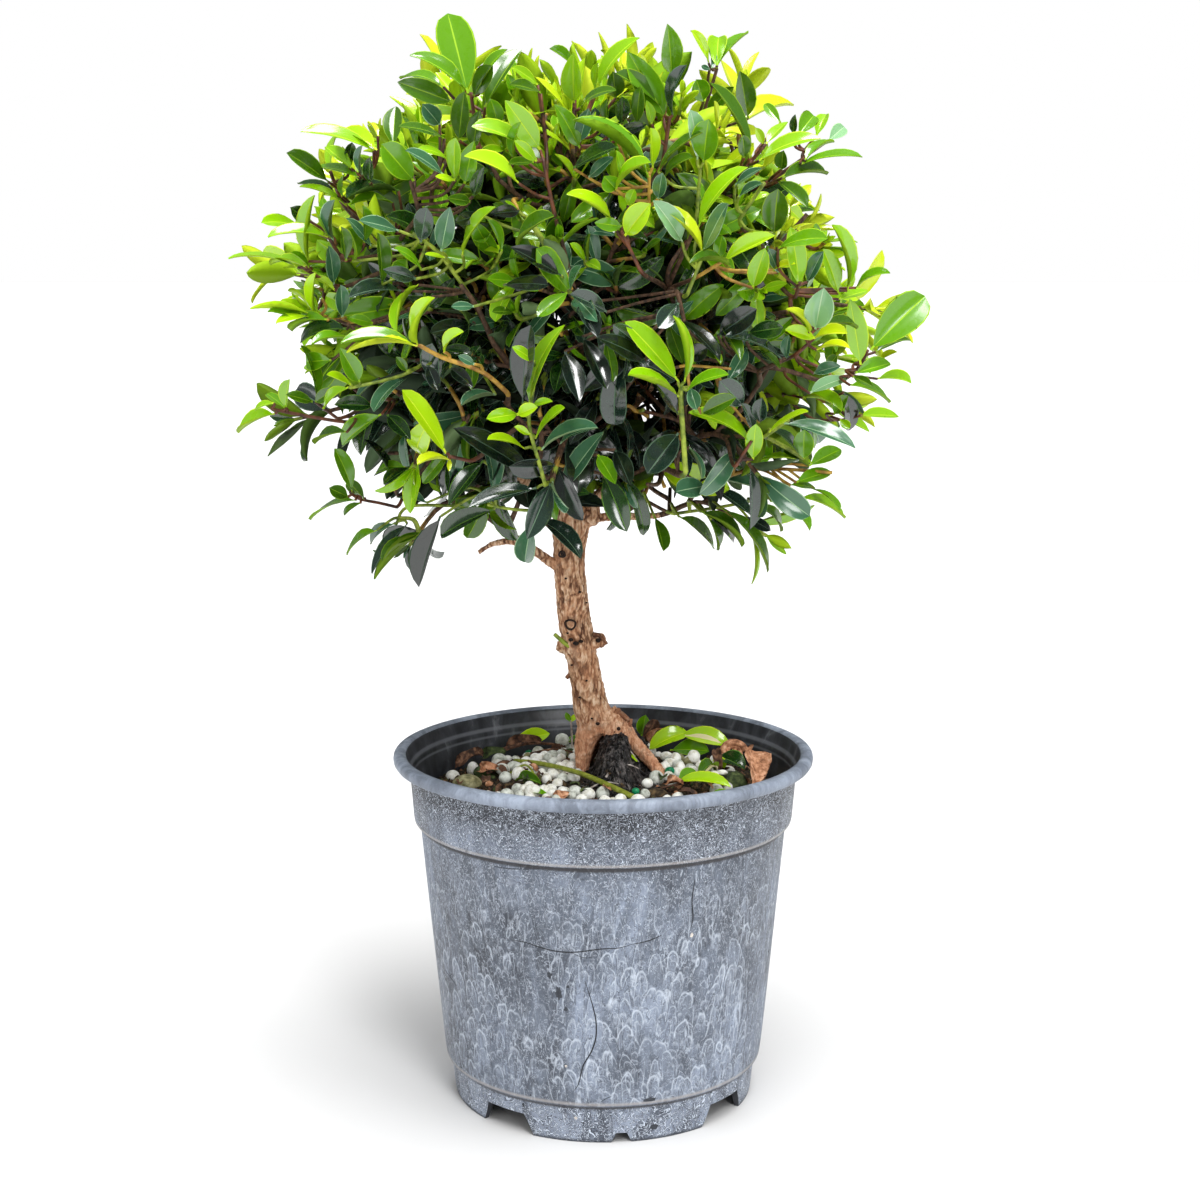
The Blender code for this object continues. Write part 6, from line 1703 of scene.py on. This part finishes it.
def scatter_prills(prills, rng, ball, faces):
    """Round feed grains, thick in the beds and thin elsewhere, that don't overlap much."""
    placed = []
    for _ in range(PRILL_TRIES):
        x, y = spot_on_mix(rng, 70.5)
        if math.hypot((x - 6.0) / 14.0, (y + 6.0) / 20.0) < 1.0 or math.hypot(x + 3, y - 12) < 9.0:
            continue
        depth = max(1.0 - math.hypot((x - bx) / rx, (y - by) / ry) for bx, by, rx, ry in PRILL_BEDS)
        if rng.random() > 0.012 + 0.9 * smoothstep(-0.1, 0.2, depth):
            continue
        size = rng.uniform(2.0, 2.8) if rng.random() < 0.85 else rng.uniform(2.8, 3.3)
        if any((x - px) ** 2 + (y - py) ** 2 < (PRILL_ROOM * (size + ps)) ** 2 for px, py, ps in placed):
            continue
        placed.append((x, y, size))
        z = rest_on_mix(x, y) + size * rng.uniform(0.2, 0.8) + 2.6 * max(0.0, depth)
        greys = 6 if x < 0 else 2
        kind = rng.choice([WHITE] * 9 + [GREY] * greys + [OLIVE] + ([GREEN] if rng.random() < 0.5 else []))
        scale = size * (0.66 if kind == GREEN else 1.0) * rng.uniform(0.84, 1.14, 3)
        lumps = 1 + 0.09 * noise(ball * 1.2 + rng.uniform(0, 90), 1.4, 3, 1)[:, None]
        prills.add(ball * lumps * scale + np.array([x, y, z]), faces, kind)


def scatter_crumbs(pile, rng):
    """Crumbs of bark and mould over the whole mix, which are root fibre round the heap."""
    grain, faces = sphere(1)
    for _ in range(CRUMBS):
        x, y = spot_on_mix(rng, 72.0)
        scale = rng.uniform(0.35, 1.3) * rng.uniform(0.5, 1.7, 3)
        kind = int(rng.choice([CRUMB] * 7 + [DRY, MOSS, DRY_DARK]))
        if math.hypot(x - 6.0, y - 2.0) < 15.0:
            kind = FIBRE
        pile.add(grain * scale + np.array([x, y, rest_on_mix(x, y) + 0.2]), faces, kind)


def lay_fibre(pile, rng):
    """The short root fibres that cover the heap."""
    spread, turn = np.sqrt(rng.random(FIBRES)) * 1.25, rng.uniform(0, 2 * np.pi, FIBRES)
    x = 6.5 + 12.0 * spread * np.cos(turn)
    y = -4.0 + 19.0 * spread * np.sin(turn)
    turn, length = rng.uniform(0, 2 * np.pi, FIBRES), rng.uniform(2.5, 8.0, FIBRES)
    step = np.array([[0.0], [0.5], [1.0]])
    x, y = x + step * length * np.cos(turn), y + step * length * np.sin(turn)
    arch = np.array([[0.1], [1.0], [0.2]]) * rng.uniform(0.4, 1.6, FIBRES)
    z = soil_height(x.ravel(), y.ravel()).reshape(x.shape) + arch
    for line in np.stack([x, y, z], -1).transpose(1, 0, 2):
        radius = rng.uniform(0.26, 0.6)
        limb(pile, line, (radius, radius * 0.5), 5, 3, FIBRE)


def scatter_dry_bits(pile, rng):
    """Small dry leaf bits, more of them on the left."""
    for _ in range(DRY_BITS):
        x, y = spot_on_mix(rng, 68.0)
        if math.hypot((x - 6.0) / 16.0, (y + 2.0) / 22.0) < 1.0 or (x > 0 and rng.random() < 0.5):
            continue
        root = np.array([x, y, rest_on_mix(x, y) + rng.uniform(1.0, 4.0)])
        tip = root + outward(math.degrees(rng.uniform(0, 6.3)), rng.uniform(-10, 25)) * rng.uniform(3.0, 8.0)
        width, bend = rng.uniform(1.5, 4.0), rng.uniform(0.2, 2.0)
        tone, roll = int(rng.choice([0, 1, 1, 2])), rng.uniform(0, 60)
        lay_leaf(pile, rng, root, tip, width, bend, 0.5, tone, roll, 0.1)


def dress_mix(leaves):
    """The feed prills, crumbs, root fibre, fallen leaves, dry bits and one cut twig that lie on the mix."""
    rng = np.random.default_rng(SEED + 5)
    ball, faces = sphere(3)
    kinds = []
    for name, low, middle, high, rough in MIX_COLOURS:
        stops = ((0.34, low), (0.5, middle), (0.68, high))
        kinds.append(grained(name, middle, rough, (430.0, 4.0, 0.6), stops, (0.0004, 0.5)))
    prills, pile, fallen, dry = Pile(), Pile(), Pile(), Pile()
    scatter_prills(prills, rng, ball, faces)
    scatter_crumbs(pile, rng)
    lay_fibre(pile, rng)
    for mark, radii, points in STRANDS:
        limb(pile, points, radii, 9, 6, mark)
    coil = np.arange(0, 4.6 * np.pi, 0.3)
    reach = 4.8 - 0.28 * coil
    spiral = np.stack([53.3 + reach * np.cos(coil), 29.6 + 1.5 * np.sin(coil), 129.6 + reach * 0.75 * np.sin(coil)], -1)
    tube(pile, spiral, np.linspace(1.7, 0.6, len(coil)), 9, DRY)
    for x, y, z, size, mark in LUMPS:
        lumps = 1 + 0.16 * noise(ball * 1.4 + x, 1.1, 3, 2)[:, None]
        prills.add(ball * lumps * np.array(size) + np.array([x, y, z]), faces, mark)
    prills.mesh("feed_prills", kinds, "potting_mix")
    pile.mesh("mix_dressing", kinds, "potting_mix")
    for row in FALLEN_LEAVES:
        lay_leaf(fallen, rng, *row, 0.03)
    for row in DRY_LEAVES:
        lay_leaf(dry, rng, *row, 0.2)
    scatter_dry_bits(dry, rng)
    three = {row[0]: materials for row, materials in zip(LEAF_COLOURS, leaves)}
    cream = Shade("leaf_cream", (236, 224, 178), 0.5)
    cream.bump(cream.noise(420.0, 3.0), 0.0003, 0.4)
    tones = three["lime"] + three["grass"] + three["moss"] + [cream.material] * 3 + three["pine"]
    fallen.mesh("fallen_leaves", tones, "potting_mix")
    dry.mesh("dry_leaves", [kinds[DRY]] * 3 + [kinds[DRY_DARK]] * 3 + [kinds[MOSS]] * 3, "potting_mix")


def lay_leaf(pile, rng, root, tip, width, bend, fold, tone, roll, wave):
    """A loose leaf from root to tip, with its upper side rolled from upward towards the front."""
    roll = math.radians(roll)
    up = np.array([rng.normal(0, 0.12), -math.sin(roll), math.cos(roll)])
    shape = (fold, bend, rng.normal(0, 0.3), wave, 0.4, 0.1)
    points = fitted_leaf(np.array(root, float), np.array(tip, float), up, width, *shape)
    pile.add(points, FINE[2], FINE[3] + 3 * tone)


# ---------------------------------------------------------------- stage
def set_stage():
    """A white floor without an end, a sky that is white to the camera and dim as a light, the suns and the camera."""
    bpy.ops.mesh.primitive_plane_add(size=1.0)
    floor = bpy.context.object
    floor.name = "floor"
    floor.data.transform(Matrix.Scale(FLOOR_WIDTH, 4))
    s = Shade("floor", (255, 255, 255), 0.9)
    s.set("Base Color", (FLOOR_TONE, FLOOR_TONE, FLOOR_TONE, 1.0))
    s.set("Specular IOR Level", 0.0)
    floor.data.materials.append(s.material)
    world = bpy.data.worlds.new("studio")
    bpy.context.scene.world = world
    world.use_nodes = True
    tree = world.node_tree
    sky = tree.nodes["Background"]
    sky.inputs["Color"].default_value = (1.0, 1.0, 1.0, 1.0)
    path = tree.nodes.new("ShaderNodeLightPath")
    level = tree.nodes.new("ShaderNodeMapRange")
    level.inputs["To Min"].default_value = SKY_LIGHT
    level.inputs["To Max"].default_value = 1.0
    tree.links.new(path.outputs["Is Camera Ray"], level.inputs["Value"])
    tree.links.new(level.outputs["Result"], sky.inputs["Strength"])
    for name, azimuth, elevation, strength, angle in SUNS:
        light = bpy.data.lights.new(name, "SUN")
        light.energy = strength
        light.angle = math.radians(angle)
        lamp = linked(name, light)
        lamp.rotation_euler = Vector(-outward(azimuth, elevation)).to_track_quat("-Z", "Y").to_euler()
        lamp.visible_glossy = name in SHEEN_SUNS
    camera = bpy.data.cameras.new("camera")
    camera.lens, camera.sensor_width = LENS, SENSOR
    camera.clip_start, camera.clip_end = 0.01, 500.0
    eye = linked("camera", camera)
    eye.location = Vector(EYE) + Vector(POT_AXIS)
    eye.rotation_euler = (math.radians(90.0 - EYE_DOWN), 0.0, 0.0)
    bpy.context.scene.camera = eye
    bpy.context.scene.view_settings.view_transform = "Standard"


def main():
    set_stage()
    make_pot(pot_materials())
    mark_pot()
    leaves = leaf_materials()
    make_mix(soil_material())
    dress_mix(leaves)
    lines = limb_lines()
    bark, twigs = bark_material(), twig_materials()
    grow_trunk(lines, bark)
    dress_trunk(bark, twigs)
    crown = grow_crown(lines)
    masses = [f"foliage_{name}" for name in lines]
    for (name, *_), pile, three in zip(LEAF_COLOURS, crown.leaves, leaves):
        if pile.count:
            made = pile.mesh(f"leaves_{name}", three, "leaves")
            if masses:
                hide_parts(*masses)
                masses = []
    crown.twigs.mesh("twigs", twigs, "bark")


main()
